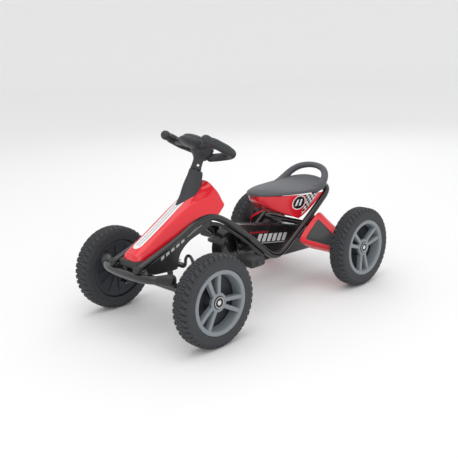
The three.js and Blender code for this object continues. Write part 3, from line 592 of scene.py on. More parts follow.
def nose_surface(rows, columns):
    """Row u runs from the tip to the rear rim, column v from the right hem over the top to
    the left hem: y = W |sin a|^e and z = floor + (H - floor) cos^e a, with a = v times the
    angle at which that arch meets the hem. The tip is a quarter turn that shrinks W and H."""
    tip_rows = 9
    v = np.linspace(-1, 1, columns)[None, :]
    turn = np.linspace(0.97 * math.pi / 2, 0, tip_rows, endpoint=False)[:, None]
    u = np.linspace(0, 1, rows)[:, None]
    tip_x, tip_length, rear_x_middle, rear_sweep = 371, 7, 121, 21
    rear = rear_x_middle - rear_sweep * np.abs(v) ** 1.7
    x = np.vstack([tip_x + tip_length * np.sin(turn) + 0 * v, tip_x + (rear - tip_x) * u])
    shrink = np.vstack([np.cos(turn) + 0 * v, np.ones_like(u) + 0 * v])
    top, half, boxy = (np.interp(x, nose_stations[:, 0], nose_stations[:, i]) for i in (1, 2, 3))
    boxy = boxy / 100
    hem = np.interp(x, nose_hem[:, 0], nose_hem[:, 1])
    top = hem + (top - hem) * shrink ** 0.6
    half = half * shrink ** 0.5
    share = np.clip((hem - nose_floor) / (top - nose_floor), 0, 1)
    angle = v * np.arccos(share ** (1 / boxy))
    y = half * np.sign(angle) * np.abs(np.sin(angle)) ** boxy
    z = nose_floor + (top - nose_floor) * np.cos(angle) ** boxy
    side = np.abs(y)
    z -= 7 * np.exp(-((x - 158) / 30) ** 2) * np.exp(-((side - 34) / 13) ** 2)
    z += 3 * np.exp(-((x - 112) / 12) ** 2) * np.clip(1 - side / 60, 0, 1)
    z += 2.2 * np.exp(-((side - 0.62 * half) / 6) ** 2) * np.clip((340 - x) / 60, 0, 1)
    return np.stack([x, y, z], -1).reshape(-1, 3), [grid_faces(rows + tip_rows, columns)]


def add_cover(name, points, faces, material, node):
    """A red cover on the frame: an open skin that gets a wall, inwards, with a soft edge."""
    wall = 0.0025
    cover = mesh_object(name, points, faces, material, 60)
    solid = cover.modifiers.new("wall", "SOLIDIFY")
    solid.thickness = wall
    solid.offset = -1
    rim = cover.modifiers.new("rim", "BEVEL")
    rim.width = wall * 0.3
    rim.segments = 2
    rim.limit_method = "ANGLE"
    rim.angle_limit = math.radians(50)
    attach(cover, "frame")
    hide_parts(node)
    return cover


add_cover("nose", *nose_surface(150, 101), striped_red, "nose_cover")

# ---- Chin --------------------------------------------------------------------------------
# The black moulding that closes the nose cover from below, between the tube ends.

chin_outline = [(388, 180), (383, 196), (372, 199), (335, 197), (330, 188), (345, 172)]
chin = plate(smooth_outline(chin_outline, 0.85), -37, 37, edge=3)
add_piece("chin", [chin], soft_black, nodes=["nose_chin"])

# ---- Side panels -------------------------------------------------------------------------
# Flat black mouldings clipped under the front of each tube, with a tail that follows the
# tube down to the low bend. Pale slanted bars are printed outside; two thin pale lines behind
# them are painted highlights that stand for two ridges on the panel.


def slanted_bars(x, z, origin, along, count, pitch, width, height, lean):
    """Bars in the x-z plane: s and t are distances along and across a line; a bar is where
    the fraction of (s + lean t) / pitch is under width / pitch and |t| is under half height."""
    dx, dz = x - origin[0], z - origin[1]
    s = dx * along[0] + dz * along[1]
    t = dz * along[0] - dx * along[1]
    leaned = t * lean + s
    bars = (leaned / pitch).math("FRACT") < width / pitch
    inside = (leaned > 0) & (leaned < count * pitch)
    return s, t, bars & inside & (abs(t) < height / 2)


def stretch(s, t, start, end, low, high):
    """A mask that is 1 where start < s < end and low < t < high."""
    return (s > start) & (s < end) & (t > low) & (t < high)


def panel_print_and_ridge_highlights(x, y, z):
    """Five printed slanted bars up the panel and two thin pale lines behind them, painted
    highlights for two ridges, on its outer face.
    """
    s, t, bars = slanted_bars(x, z, (322, 199.5), (-0.923, 0.385), 5, 18.2, 11.5, 11, 0.5)
    # The bars are print; the two thin pale lines are painted highlights standing for two ridges
    # along the panel.
    print_and_highlight_marks = [bars, stretch(s, t, 94, 150, 1.0, 2.0), stretch(s, t, 94, 150, -2.6, -1.6)]
    outside = abs(y) > 55.2
    return [(mark & outside, (0.6, 0.61, 0.63)) for mark in print_and_highlight_marks]


# The panel's print, plus two thin pale lines of painted highlight for its ridges.
printed_panel_and_ridge_highlights = finish("black_panel_print_and_painted_ridge_highlights", (0.012, 0.0125, 0.014), 0.36, mottle=0.2, coat=0.2,
                       paint=panel_print_and_ridge_highlights)
panel_outline = [
    (365, 170), (371, 186), (319, 209), (255, 234), (205, 257), (172, 265), (150, 262),
    (143, 251), (170, 239), (203, 231), (226, 223), (245, 211), (258, 198), (266, 182),
    (269, 157), (345, 162)]
panel_tail = smooth_path([(150, 53, 252), (122, 56, 243), (62, 62, 202), (13, 69, 159),
                          (-20, 75, 129)], 60)
panel = [plate(smooth_outline(panel_outline, 0.86), 48, 55.5, edge=1.0),
         swept(panel_tail, 5, 16, rounded=(True, True))]
add_pair("panel", panel, printed_panel_and_ridge_highlights, "side_panel")

# ---- Column boot -------------------------------------------------------------------------
# A drop-shaped boot in satin charcoal plastic that stands on the nose cover and closes
# round the column just under the steering wheel.

charcoal = finish("satin_charcoal_plastic", (0.03, 0.032, 0.037), 0.5, mottle=0.25,
                  depth=0.0002, grain=1400.0)
tilt = math.atan(0.5)
column_top = np.array([142, 0, 400])


def boot_rings(levels, around):
    """Ovals from (z, rear x, front x, half width), pinched to the front like a drop. Towards
    the top each one tips until it is square to the column: z += (x - middle) * lean."""
    angle = circle(around)[None, :]
    z, rear, front, half = (levels[:, i:i + 1] for i in range(4))
    x = (rear + front) / 2 + (front - rear) / 2 * np.cos(angle)
    y = half * (1 - 0.25 * np.clip(np.cos(angle), 0, 1) ** 1.2) * np.sin(angle)
    lean = 0.5 * np.clip((z - 330) / 50, 0, 1)
    return np.stack([x, y, z + (x - (rear + front) / 2) * lean], -1)


boot_levels = smooth_path([(262, 150, 250, 27), (300, 140, 224, 25), (325, 137, 206, 22.5),
                           (350, 134, 190, 19.5), (372, 130, 173, 17), (385, 127.5, 165, 16),
                           (387.5, 130, 162, 14.2)], 60)
add_piece("boot", [skin(boot_rings(boot_levels, 64))], charcoal,
          nodes=["column_shroud"], crease=50)

# ---- Steering column and wheel -----------------------------------------------------------
# A plated column with a crank at its foot carries a yoke-shaped plastic wheel: a domed
# hub on a tapered cup, a thick grip on each side with a knobbed horn, and a clamp bolt.


def on_column(shell):
    """From the column's own frame (z along it, x forward) to the kart's frame."""
    points, faces = shell
    x, y, z = np.asarray(points, float).T
    cosine, sine = math.cos(tilt), math.sin(tilt)
    return column_top + np.stack([cosine * x - sine * z, y, sine * x + cosine * z], 1), faces


crank_arm, column_foot = 31.3, -263.85
column = [bar((0, 0, column_foot + 11), (0, 0, 46), 8, 28),
          block((-crank_arm / 2, 0, column_foot + 14), (crank_arm + 12, 14, 6), axis=2),
          bar((-crank_arm, 0, column_foot - 11), (-crank_arm, 0, column_foot + 14), 4)]
add_piece("column", [on_column(shell) for shell in column], bright_zinc, "steering",
          ["steering_column"])

grip_run = smooth_path([(66, 79, 53), (48, 83, 53), (20, 86, 52), (-10, 86, 51), (-32, 81, 50),
                        (-44, 66, 48), (-48, 48, 45), (-42, 26, 38), (-28, 12, 30)], 110)
grip_share = np.linspace(0, 1, 110)
grip_radius = (10.8 + 1.8 * np.exp(-((grip_share - 0.26) / 0.2) ** 4)
               + 1.6 * np.exp(-((grip_share - 0.0) / 0.045) ** 2)
               - 0.9 * np.exp(-((grip_share - 0.08) / 0.03) ** 2)
               + 0.28 * np.sin(grip_share * 330) * (np.abs(grip_share - 0.27) < 0.17))
spoke_run = smooth_path([(26, 22, 49), (27, 40, 49), (26, 60, 50), (22, 80, 50.5)], 30)
grip_side = [swept(grip_run, grip_radius, 28, rounded=(True, True)),
             swept(spoke_run, np.interp(np.linspace(0, 1, 30), [0, 0.5, 1], [18, 14, 14]), 24,
                   flat=0.62)]
cup_profile = smooth_path([(10, -11), (13.3, -10.5), (13.5, 0), (13.5, 12), (15, 17), (19, 23),
                           (25, 30), (30, 39), (32, 47), (30, 52), (16, 55)], 48)
cup_rings = lathed(cup_profile, axis=(0, 0, 1), sides=56)
sleeve_ring = lathed([(12.4, -12), (14.4, -11.6), (14.8, -9), (14.4, -6.4), (13, -6)],
                     axis=(0, 0, 1), sides=48)


def ellipsoid(centre, radii, low=-90, high=90, rows=24, around=48):
    """Latitude a, longitude b: centre + radii * (cos a cos b, cos a sin b, sin a)."""
    a = np.radians(np.linspace(low + 0.5, high - 0.5, rows))[:, None]
    b = circle(around)[None, :]
    unit = np.stack([np.cos(a) * np.cos(b), np.cos(a) * np.sin(b), np.sin(a) + 0 * b], -1)
    return skin(np.asarray(centre, float) + unit * radii)


hub = ellipsoid((30, 0, 50), (44, 40, 15))
yoke = [*both(grip_side), cup_rings, sleeve_ring, hub]
add_piece("yoke", [on_column(shell) for shell in yoke], charcoal,
          "steering", ["steering_wheel"], crease=50)

pad_dome = ellipsoid((30, 0, 58.4), (36, 32.5, 12.4), low=0)
pad_ridge = ellipsoid((30, 0, 66), (24, 13, 5.0), low=0)
add_piece("horn_pad", [on_column(pad_dome), on_column(pad_ridge)], charcoal,
          "steering", ["steering_pad"], crease=50)

bolt_way = np.array([math.cos(math.pi / 3), math.sin(math.pi / 3), 0])
bolt_at = np.array([0, 0, -2])
bolt = [bar(bolt_at - 16 * bolt_way, bolt_at + 16 * bolt_way, 2.5),
        lathed([(3.2, 13.9), (3.8, 14.3), (3.8, 16), (3.2, 16.5)], bolt_at, bolt_way, 6),
        lathed([(3.2, -16.5), (3.8, -16), (3.8, -14.3), (3.2, -13.9)], bolt_at, bolt_way, 6)]
add_piece("clamp_bolt", [on_column(shell) for shell in bolt], bright_zinc, "steering",
          ["wheel_bolt"], crease=25)

# ---- Wheels ------------------------------------------------------------------------------
# Each wheel is moulded in parts: a black tyre with a block tread, a black ribbed inner
# disc, a grey rim with three pairs of spokes, a black hub cap and a bright axle nut. A thin
# bright metal ring on the cap's rim paints the highlight along the cap's edge.

wheel_radius, wheel_y, rear_x = 115, 204, -293
tyre_steps, tyre_blocks = 1056, 44


def smooth_step(value, low, high):
    """0 below low, 1 above high, and 3 t^2 - 2 t^3 between."""
    t = np.clip((value - low) / (high - low), 0, 1)
    return t * t * (3 - 2 * t)


def groove(distance, half_width, soft):
    """1 at the bottom of a groove where distance is 0, falling to 0 past its half width."""
    return 1 - smooth_step(np.abs(distance), half_width - soft, half_width + soft)


def tyre_shell():
    """The tyre's profile carried round the axle and cut by its tread: a zigzag groove and
    fine cross cuts in the middle, a groove each side, then slanted shoulder blocks."""
    half = [(82, 24.5), (83.5, 25), (88, 25.3), (96, 26), (103, 25.3), (108.6, 23),
            (112.6, 19.4), (114.6, 15), (115, 10), (115, 4), (115, 0)]
    outline = half + [(r, -y) for r, y in half[-2::-1]]
    steps = 97
    outline = smooth_path([(*p, 0) for p in outline], steps)[:, :2]
    outline[:, 0] = np.minimum(outline[:, 0], wheel_radius)
    along = np.gradient(outline, axis=0)
    normal = np.stack([-along[:, 1], along[:, 0]], 1)
    normal /= np.linalg.norm(normal, axis=1)[:, None]
    normal *= np.sign(normal[steps // 2, 0])
    turn = circle(tyre_steps)[None, :]
    y = outline[:, 1:2]
    side = np.abs(y)
    pitch = turn * tyre_blocks / (2 * math.pi) + np.where(y < 0, 0.5, 0.0)
    saw = np.mod(pitch + 0.45 * (side - 10) / 14, 1) - 0.5
    shoulder = groove(saw, 0.17, 0.05) * smooth_step(side, 9, 11)
    shoulder = shoulder * (1 - smooth_step(side, 22, 24.5))
    fine = np.mod(2 * pitch + 0.3, 1) - 0.5
    middle = groove(fine, 0.16, 0.08) * smooth_step(side, 2.2, 3.4)
    middle = middle * (1 - smooth_step(side, 8.4, 9.4))
    zigzag = 2.0 * (2 * np.abs(np.mod(2 * pitch, 1) - 0.5) - 0.5)
    centre = groove(y - zigzag, 1.0, 0.5)
    ring = groove(side - 9.8, 1.1, 0.5)
    step = np.mod(2 * pitch + 0.1, 1) - 0.5
    radius = outline[:, :1]
    lug = groove(step, 0.2, 0.08) * smooth_step(side, 21.5, 23) * smooth_step(radius, 98, 104)
    ridge = groove(radius - 93, 0.7, 0.4) * (side > 20)
    cut = np.maximum(4.2 * shoulder, 2.8 * ring) + 2.4 * middle + 2.6 * centre
    cut = cut + 1.3 * lug + 0.7 * ridge
    reach = radius - cut * normal[:, :1]
    height = y - cut * normal[:, 1:]
    points = np.stack([reach * np.cos(turn), height + 0 * turn, reach * np.sin(turn)], -1)
    return skin(np.concatenate([points, points[:1]]), close=False)


tyre_skin = tyre_shell()


def bar_profile(round_share, sides):
    """A rounded square of side 1 as (across, up): half of sign(cos a) |cos a|^share, and the
    same of the sine."""
    around = np.stack([np.cos(circle(sides)), np.sin(circle(sides))], 1)
    return 0.5 * np.sign(around) * np.abs(around) ** round_share


def spoke(pair_angle, side):
    """One spoke: a rounded bar carried from the hub to the rim, leaving the pair's middle
    line as it goes out, and rising from the hub's level to the rim's face."""
    hub_end, rim_end, deep = 19, 70.5, 13.0
    share = np.linspace(0, 1, 16)[:, None]
    radial = hub_end + (rim_end - hub_end) * share
    offset = side * (7.2 + (18.2 - 7.2) * share)
    top = 18.0 + 5.6 * share ** 1.5
    width = 11.5 + 1.0 * share
    sideways, up = bar_profile(0.32, 28).T[:, None]
    across = offset + sideways * width * (1 - 0.24 * up)
    y = top - deep / 2 + up * deep
    along = radial + 0 * across
    cosine, sine = math.cos(pair_angle), math.sin(pair_angle)
    return skin(np.stack([along * cosine - across * sine, y, along * sine + across * cosine], -1))


rim_profile = [
    (81.2, -3.6), (81.2, 23.5), (80.2, 25.2), (77.8, 26), (72.5, 25.6), (70.4, 24.4), (69.2, 22),
    (68.6, 16), (66.5, 6), (65.6, -3.4)]
rim_hub = [(15.8, 8.4), (23.6, 8.4), (24.4, 10), (24.0, 16.6), (22.8, 17.8), (17.2, 18.2),
           (15.8, 17.2)]
disc_profile = [
    (8.5, -19), (20, -19), (22, -16.5), (30, -15.5), (68, -17.5), (72, -20), (79, -20),
    (81.2, -18.5), (81.2, -4.4), (66, -8), (28, -8), (21, 7.8), (8.5, 7.8)]
cap_profile = [(0.4, 12.6), (15.2, 12.6), (15.3, 13), (15.3, 18.6), (14.4, 19.5), (12.6, 19.6),
               (12.1, 19.0), (9.3, 19.0), (8.9, 20.1), (8.0, 20.5), (7.0, 20.1), (6.8, 18.5),
               (0.4, 18.4)]
# A thin bright metal ring laid on the cap's rim: a painted highlight along the edge of the black
# cap.
cap_rim_highlight_profile = [(12.4, 19.3), (13.7, 19.3), (13.7, 19.75), (12.4, 19.75)]
nut_profile = [(0.4, 18.2), (5.4, 18.2), (5.9, 18.8), (5.9, 19.6), (5.0, 20.2), (0.4, 20.4)]


def turned_about_axle(shell, angle):
    """The shell turned about the wheel's own y axis."""
    points, faces = shell
    x, y, z = np.asarray(points, float).T
    cosine, sine = math.cos(angle), math.sin(angle)
    return np.stack([cosine * x - sine * z, y, sine * x + cosine * z], 1), faces


rubber = finish("moulded_black_tyre", (0.033, 0.035, 0.04), 0.62, mottle=0.35, spread=0.2,
                patch=60.0, depth=0.0003)
rim_grey = finish("satin_grey_rim", (0.215, 0.24, 0.262), 0.42, mottle=0.12, coat=0.15)
disc_black = finish("wheel_disc_black", (0.024, 0.028, 0.036), 0.5, mottle=0.3)
cap_black = finish("hub_cap_black", (0.012, 0.012, 0.014), 0.3, coat=0.3)
# Bright metal for the axle nut, and for the ring that paints the highlight on the cap's edge.
nut_and_rim_highlight_metal = finish("axle_nut_and_painted_rim_highlight_metal", (0.75, 0.74, 0.74), 0.28, metallic=0.9)

rib_count, boss_count = 12, 6
rib = plate([(26, -1.6), (66, -1.6), (66, 1.6), (26, 1.6)], -19.4, -15, 0.4)
boss = lathed([(2.0, -20.6), (4, -20.6), (4.4, -20), (4.4, -16)], (52, 0, 0))
ribs = [turned_about_axle(rib, 2 * math.pi * i / rib_count) for i in range(rib_count)]
bosses = [turned_about_axle(boss, 2 * math.pi * (i + 0.5) / boss_count)
          for i in range(boss_count)]
parts = {
    "tread": ([tyre_skin], rubber, "tyre", "tyre", 50),
    "disc": ([lathed(disc_profile, sides=96, ring=True), *ribs, *bosses], disc_black,
             "black_plastic", "wheel_disc", 35),
    "cap": ([lathed(cap_profile)], cap_black, "black_plastic", "hub_cap", 35),
    # The nut piece also carries the thin bright ring that paints the cap's edge highlight.
    "nut": ([lathed(nut_profile, sides=32), lathed(cap_rim_highlight_profile, sides=64, ring=True)],
            nut_and_rim_highlight_metal, "steel", None, 35)}
for end, axle_at, pair_angle in (("front", axle_x, 77), ("rear", rear_x, 152)):
    spokes = [spoke(math.radians(pair_angle + 120 * i), side) for i in range(3) for side in (1, -1)]
    rings = [lathed(rim_profile, sides=128, ring=True), lathed(rim_hub, sides=64, ring=True)]
    parts["rim"] = ([*rings, *spokes], rim_grey, "rim_plastic", "wheel_rim", 35)
    for hand, way in (("left", 1), ("right", -1)):
        body = "rear_drive" if (end, hand) == ("rear", "left") else f"{end}_{hand}_wheel"
        for part, (shells, material, slot, node, crease) in parts.items():
            placed = [(points * [1, way, 1] + [axle_at, way * wheel_y, wheel_radius], faces)
                      for points, faces in shells]
            nodes = [f"{node}_{end}_{hand}"] if node else []
            add_piece(f"{part}_{end}_{hand}", placed, material, body, nodes, crease)

# ---- Crank and pedals --------------------------------------------------------------------
# One bar bent twice each way, dark plated, turning in two flanged hangers welded to the
# tubes. Each pedal is a ribbed black block that spins on its end of the bar.

crank_at, crank_throw, crank_rest = (32, 155), 60, math.radians(-2)
arm_way = np.array([math.cos(crank_rest), 0, math.sin(crank_rest)])


def crank_point(reach, y):
    """A point at a distance along the crank arm and at a given y."""
    return np.array([crank_at[0], y, crank_at[1]]) + reach * arm_way


crank_half = [crank_point(0, 0), crank_point(0, 60), crank_point(0, 84), crank_point(2, 89),
              crank_point(8, 91), crank_point(30, 91), crank_point(52, 91), crank_point(58, 93),
              crank_point(60, 98), crank_point(60, 120), crank_point(60, 166)]
crank_run = [[2 * crank_at[0] - p[0], -p[1], 2 * crank_at[1] - p[2]] for p in crank_half[:0:-1]]
crank_path = smooth_path([*crank_run, *crank_half], 220)
crank_radius = np.where(np.abs(crank_path[:, 1]) > 102, 5.0, 6.0)
crank_up = (-math.sin(crank_rest), 0, math.cos(crank_rest))
add_piece("crank_bar", [swept(crank_path, crank_radius, 20, up=crank_up, rounded=(True, True))],
          dark_plate, "crank", ["pedal_crank"])

pedal_black = finish("ribbed_pedal_plastic", (0.014, 0.0145, 0.016), 0.46, mottle=0.3, depth=0.0003)
pedal_side = smooth_outline([(-26.5, -7), (-21, -11), (21, -11), (26.5, -7), (26.5, 7), (21, 11),
                             (-21, 11), (-26.5, 7)], 0.85)
for hand, way in (("left", 1), ("right", -1)):
    centre = crank_point(way * crank_throw, way * 135)
    shells = [plate(pedal_side, -31, 31, 2.0), lathed([(6, -32), (9, -31.6), (9.4, -30), (9.4, 30),
              (9, 31.6), (6, 32)], sides=32)]
    for x in (-18, -9, 0, 9, 18):
        shells.append(block((x, 0, 0), (4.2, 58, 24), 1.0, axis=0))
    shells += [block((x, 0, 0), (1.6, 44, 9), 0.4, axis=0) for x in (-26.4, 26.4)]
    placed = [(points + centre, faces) for points, faces in shells]
    add_piece(f"pedal_block_{hand}", placed, pedal_black, f"{hand}_pedal",
              [f"pedal_{hand}"])

hanger_outline = [(15, 147), (24, 138), (40, 138), (49, 147), (49, 165), (58, 215), (40, 215),
                  (15, 163)]
flange_profile = [(6.3, 34), (12.4, 34), (13, 34.6), (13, 43.4), (19.4, 44), (20, 44.6),
                  (20, 47.4), (19.4, 48), (13, 48.4), (13, 50.4), (12.4, 51), (6.3, 51)]
hanger = [plate(smooth_outline(hanger_outline, 0.88), 39.5, 44.5, 0.8),
          lathed(flange_profile, (32, 0, 155), sides=40, ring=True),
          block((50, 48.5, 212), (16, 18, 8))]
add_pair("hanger", hanger, powder_coat, "crank_hanger")

# ---- Chain case --------------------------------------------------------------------------
# A two-part black moulding round the sprockets and the chain. A raised band runs round the
# outer face, and white and red bars with a thin underline are printed on it.


def belt_outline(front_radius, rear_radius, steps=28):
    """The outline of a belt round the crank centre and the rear axle, as (x, z)."""
    rear_at = (rear_x, wheel_radius)
    run_x, run_z = crank_at[0] - rear_at[0], crank_at[1] - rear_at[1]
    slant = math.atan2(run_z, run_x)
    spread = math.acos((front_radius - rear_radius) / math.hypot(run_x, run_z))
    front = slant + np.linspace(spread - math.pi, math.pi - spread, steps)
    rear = slant + np.linspace(math.pi - spread, math.pi + spread, steps)
    turn = np.concatenate([front, rear])
    radius = np.repeat([front_radius, rear_radius], steps)
    middle = np.repeat([crank_at, rear_at], steps, axis=0)
    return middle + radius[:, None] * np.stack([np.cos(turn), np.sin(turn)], 1)


def case_print(x, y, z):
    """Six white slanted bars with a line under them and a row of small red bars above."""
    along, pale, print_red = (-0.985, -0.172), (0.62, 0.62, 0.63), (0.5, 0.01, 0.02)
    s, t, white = slanted_bars(x, z, (-52, 162), along, 6, 21.5, 14.5, 23, 0.35)
    _, _, red = slanted_bars(x, z, (-22, 184), along, 7, 11.0, 7.0, 5.5, 0.35)
    line = stretch(s, t, 6, 118, 14.5, 16.2)
    outside = y > 26.4
    return [(white & outside, pale), (line & outside, pale), (red & outside, print_red)]


case_black = finish("case_black_plastic", (0.01, 0.0105, 0.012), 0.26, mottle=0.2, coat=0.3)
printed_case = finish("printed_case_plastic", (0.01, 0.0105, 0.012), 0.26, mottle=0.2, coat=0.3,
                      paint=case_print)


def case_shell(low, high, face):
    """Half of the case between two values of y: the belt outline with a deep chamfer, and a
    shallow raised band on the outer face of its front disc."""
    band = lathed([(50, 0), (52, 1.6), (57, 1.6), (59, 0)], (crank_at[0], face, crank_at[1]),
                  (0, math.copysign(1, face), 0), 64, ring=True)
    return [plate(belt_outline(62, 38), low, high, 3.0), band]


add_piece("case_left", case_shell(7.15, 27, 26.2), printed_case,
          nodes=["chain_case_left"])
add_piece("case_right", case_shell(-13, 6.85, -12.2), case_black,
          nodes=["chain_case_right"])

# ---- Rear axle ---------------------------------------------------------------------------
# A plated shaft right across the kart, in two plastic bushes held by flat brackets that
# are welded under the tubes.

add_piece("axle_shaft", [bar((rear_x, -216, 115), (rear_x, 216, 115), 8, 28)], bright_zinc,
          "rear_drive", ["rear_axle"])
bracket_outline = [(-309, 107), (-301, 99), (-285, 99), (-275, 109), (-196, 180), (-236, 208),
                   (-307, 127)]
rear_bracket = [plate(smooth_outline(bracket_outline, 0.9), 76.5, 81.5, 0.8)]
add_pair("bracket", rear_bracket, powder_coat, "axle_bracket")
bush_profile = [(8.3, -6), (11, -6), (11, 3), (15.6, 3), (16, 3.4), (16, 6.6), (15.6, 7), (8.3, 7)]
rear_bush = lathed(bush_profile, (rear_x, 79, 115), ring=True)
add_pair("bush", [rear_bush], soft_black, "axle_bush")

# ---- Rear fairings -----------------------------------------------------------------------
# Red mouldings that taper from the frame out to the rear wheels over the axle, each with a
# rounded black panel let into the face that looks forward and up.

fairing_inner = np.array([(-150, 143), (-243, 211), (-266, 203), (-318, 140), (-330, 95),
                          (-230, 95)], float)
fairing_outer = np.array([(-211, 116), (-227, 165), (-243, 165), (-300, 145), (-325, 112),
                          (-262, 84)], float)
fairing_span = (90.5, 168.0)
panel_depth, panel_facing = 0.9, np.array([0.55, 0.3, 0.75])


def fairing_panel(x, y, z):
    """Black where the stored distance inside the panel's edge is above zero."""
    stored = x.tree.nodes.new("ShaderNodeAttribute")
    stored.attribute_name = "panel_edge"
    return [(Field(x.tree, stored.outputs["Fac"]) > 0.0, (0.008, 0.0085, 0.01))]


inset_red = gloss_red("red_fairing_plastic", 0.26, 0.15, fairing_panel)


def fairing_skin(rows, per_side):
    """Six-cornered rings blended from the inner ring to the outer one, rounded by a moving
    average along each ring. Also gives each point's distance inside the rounded rectangle
    of the black panel on the first side."""
    share = np.linspace(0, 1, rows)[:, None, None]
    corners = fairing_inner * (1 - share) + fairing_outer * share
    step = (np.arange(per_side) / per_side)[None, None, :, None]
    sides = corners[:, :, None] * (1 - step) + np.roll(corners, -1, 1)[:, :, None] * step
    ring = sides.reshape(rows, -1, 2)
    reach = np.hanning(per_side // 2 * 2 + 1)
    reach /= reach.sum()
    around = ring.shape[1]
    index = (np.arange(around)[:, None] + np.arange(len(reach)) - len(reach) // 2) % around
    ring = np.einsum("rakc,k->rac", ring[:, index], reach)
    y = fairing_span[0] + (fairing_span[1] - fairing_span[0]) * share[:, 0]
    points = np.stack([ring[..., 0], y + 0 * ring[..., 0], ring[..., 1]], -1)
    along = np.arange(around)[None, :] / per_side
    across = y + 0 * along
    width = np.linalg.norm(corners[:, 1] - corners[:, 0], axis=1)[:, None]
    margin, middle_y, half_y, corner = 9, 134, 31, 8
    past_along = np.abs(along - 0.5) * width - (width / 2 - margin) + corner
    past_across = np.abs(across - middle_y) - half_y + corner
    outside = np.hypot(np.maximum(past_along, 0), np.maximum(past_across, 0))
    inside = np.minimum(np.maximum(past_along, past_across), 0)
    return points, corner - outside - inside


for hand, way in (("left", 1), ("right", -1)):
    fairing_points, panel_edge = fairing_skin(60, 44)
    rows, around = panel_edge.shape
    sunk = panel_depth * np.clip(panel_edge[..., None], 0, 1) * panel_facing
    fairing_points = (fairing_points - sunk).reshape(-1, 3) * [1, way, 1]
    fairing_faces = grid_faces(rows, around, wrap=True)[:, ::-way]
    fairing = add_cover(f"fairing_{hand}", fairing_points, [fairing_faces], inset_red,
                        f"rear_fairing_{hand}")
    stored = fairing.data.attributes.new("panel_edge", "FLOAT", "POINT")
    stored.data.foreach_set("value", panel_edge.ravel())

# ---- Seat shell --------------------------------------------------------------------------
# A red moulding under the saddle that narrows downwards and is cut off along the tubes. A
# black disc in a white ring and a black and white checker are printed on each side.


def shell_print(x, y, z):
    """A black disc in a white ring, with two bars on it, and behind it a checker above a white
    line. dx and dz are measured from the middle of the disc."""
    ring_radius, core_radius, field_from, column, row = 22.0, 19.0, 24.0, 17.0, 15.0
    dx, dz = x + 180.0, z - 249.0
    reach = (dx * dx + dz * dz).math("SQRT")
    side_face = abs(y) > 60.0
    disc = (reach < ring_radius) & side_face
    core = (reach < core_radius) & side_face
    bars = slanted_bars(x, z, (-170, 249), (-1.0, 0.0), 2, 12.0, 6.0, 19, 0.25)[2] & core
    columns = ((dz * 0.35 + dx) / column).math("FRACT") > 0.5
    rows = (dz / row).math("FRACT") > 0.5
    check = abs(columns - rows)
    line_slope, line_drop = 0.98, 56.5
    above_line = dz + (dx * line_slope + line_drop)
    field = (above_line > 0.0) & (reach > field_from) & (dx < -16.0) & side_face
    edge = (above_line < 2.0) & field
    black, white = (0.01, 0.01, 0.011), (0.8, 0.8, 0.8)
    return [(field, black), (field & check, white), (edge, white), (disc, white),
            (core, black), (bars, white)]


printed_red = gloss_red("printed_red_shell", 0.26, 0.5, shell_print)
# x, half widths at the top and bottom, heights of the top and bottom
shell_stations = smooth_path([
    (-61, 10, 6, 281, 271), (-65, 18, 12, 280, 266), (-75, 28, 18, 279, 258),
    (-92, 42, 27, 277.5, 247), (-120, 58, 39, 275.5, 231), (-160, 73, 54, 273.5, 212),
    (-200, 82, 64, 269.4, 194), (-245, 82, 66, 266.4, 190), (-285, 79, 64, 263, 190)], 90)


def seat_shell_surface(stations, columns):
    """From the left rim down the side, across the bottom and up: y = half width blended from
    top to bottom by depth, with a rounded corner. Behind, the bottom stops at the tube line."""
    x, top_half, low_half, top, low = (stations[:, i:i + 1] for i in range(5))
    v = np.linspace(-1, 1, columns)[None, :]
    cut = 182 + np.clip(-168 - x, 0, None) * 0.703
    floor = np.maximum(low, cut)
    wall = np.clip((np.abs(v) - 0.5) / 0.5, 0, 1) ** 1.15
    z = floor + (top - floor) * wall
    depth = (top - z) / (top - low)
    bulge = 2.2 * np.sin(math.pi * depth)
    half = top_half + (low_half - top_half) * depth + bulge
    y = half * np.sign(v) * np.where(np.abs(v) > 0.5, 1, (np.abs(v) / 0.5) ** 0.95)
    points = np.stack([x + 0 * v, y, z], -1).reshape(-1, 3)
    return points, grid_faces(len(stations), columns)[:, ::-1]


open_from, quads_across = -176, 96
shell_points, shell_quads = seat_shell_surface(shell_stations, quads_across + 1)
column_of = np.arange(len(shell_quads)) % quads_across
is_wall = (column_of < quads_across // 4) | (column_of >= quads_across * 3 // 4)
in_front = shell_points[shell_quads, 0].mean(1) > open_from
add_cover("under_seat", shell_points, [shell_quads[is_wall | in_front]], printed_red,
          "seat_shell")

# ---- Saddle ------------------------------------------------------------------------------
# A one-piece moulded saddle in grained dark grey plastic: a shallow crown, a soft lip, a
# groove under the lip, and a looped handle that grows out of its rear corners.

seat_grey = finish("grained_grey_plastic", (0.09, 0.093, 0.104), 0.58, mottle=0.18, grain=1800.0,
                   depth=0.0003)
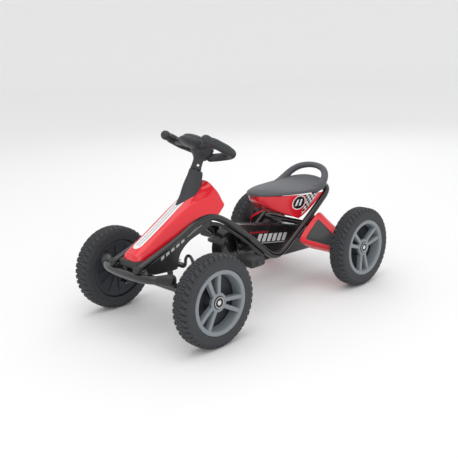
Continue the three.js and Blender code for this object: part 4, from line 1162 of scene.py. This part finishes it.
# x, half width, heights of the underside, the rim and the middle
saddle_stations = smooth_path([
    (-55.5, 5, 282, 286, 288), (-58, 14, 281, 287.5, 291), (-64, 24, 280, 288.5, 294),
    (-74, 34, 279, 288.5, 296.5), (-90, 46, 278, 288, 298), (-118, 62, 276, 287, 297),
    (-155, 77, 274, 286, 295), (-200, 87, 271, 285, 292.5), (-245, 88, 267, 286, 293),
    (-280, 82, 264, 289, 297), (-303, 73, 262, 292, 301), (-316, 60, 262, 293, 302),
    (-320, 48, 266, 292, 300)], 140)


def saddle_rings(stations, around):
    """Closed rings: y = W |cos a|^0.5; above the rim z follows the crown, below it drops
    steeply to the underside past a shallow groove under the lip."""
    x, half, under, rim, middle = (stations[:, i:i + 1] for i in range(5))
    angle = circle(around)[None, :]
    across = np.sign(np.cos(angle)) * np.abs(np.cos(angle)) ** 0.5
    up = np.sin(angle)
    crown = rim - 4 + 4 * np.clip(up, 0, 1) ** 0.5 + (middle - rim) * (1 - across ** 2)
    skirt = rim - 4 - (rim - 4 - under) * np.clip(-up, 0, 1) ** 0.4
    z = np.where(up >= 0, crown, skirt)
    dent = 1.4 * np.exp(-((up + 0.02) / 0.012) ** 2)
    return np.stack([x + 0 * across, (half - dent) * across, z], -1)


loop_half = [(-250, 72, 277), (-262, 74, 280), (-285, 75, 291), (-306, 68, 307),
             (-322, 50, 321), (-331, 25, 328)]
loop_ends = [(x, -y, z) for x, y, z in loop_half[::-1]]
loop_run = smooth_path([*loop_half, (-333, 0, 330), *loop_ends], 120)
loop_radius = np.interp(np.linspace(0, 1, 120), [0, 0.1, 0.22, 0.5, 0.78, 0.9, 1],
                        [14, 12.5, 10.4, 8.8, 10.4, 12.5, 14])
loop = swept(loop_run, loop_radius, 28, rounded=(True, True))
saddle = skin(saddle_rings(saddle_stations, 96))
add_piece("saddle", [saddle, loop], seat_grey, nodes=["seat"], crease=50)

# ---- Parts that keep their own solids ----------------------------------------------------
# The column's welded bracket and plastic bush, and inside the chain case the two stamped
# sprockets and the oiled chain.

chain_steel = finish("oiled_chain_steel", (0.05, 0.05, 0.052), 0.35, metallic=0.9, spread=0.3)
for node, material in (("column_bracket", powder_coat), ("column_bush", soft_black),
                       ("front_sprocket", bright_zinc), ("rear_sprocket", bright_zinc),
                       ("drive_chain", chain_steel)):
    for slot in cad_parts[node].material_slots:
        slot.material = material
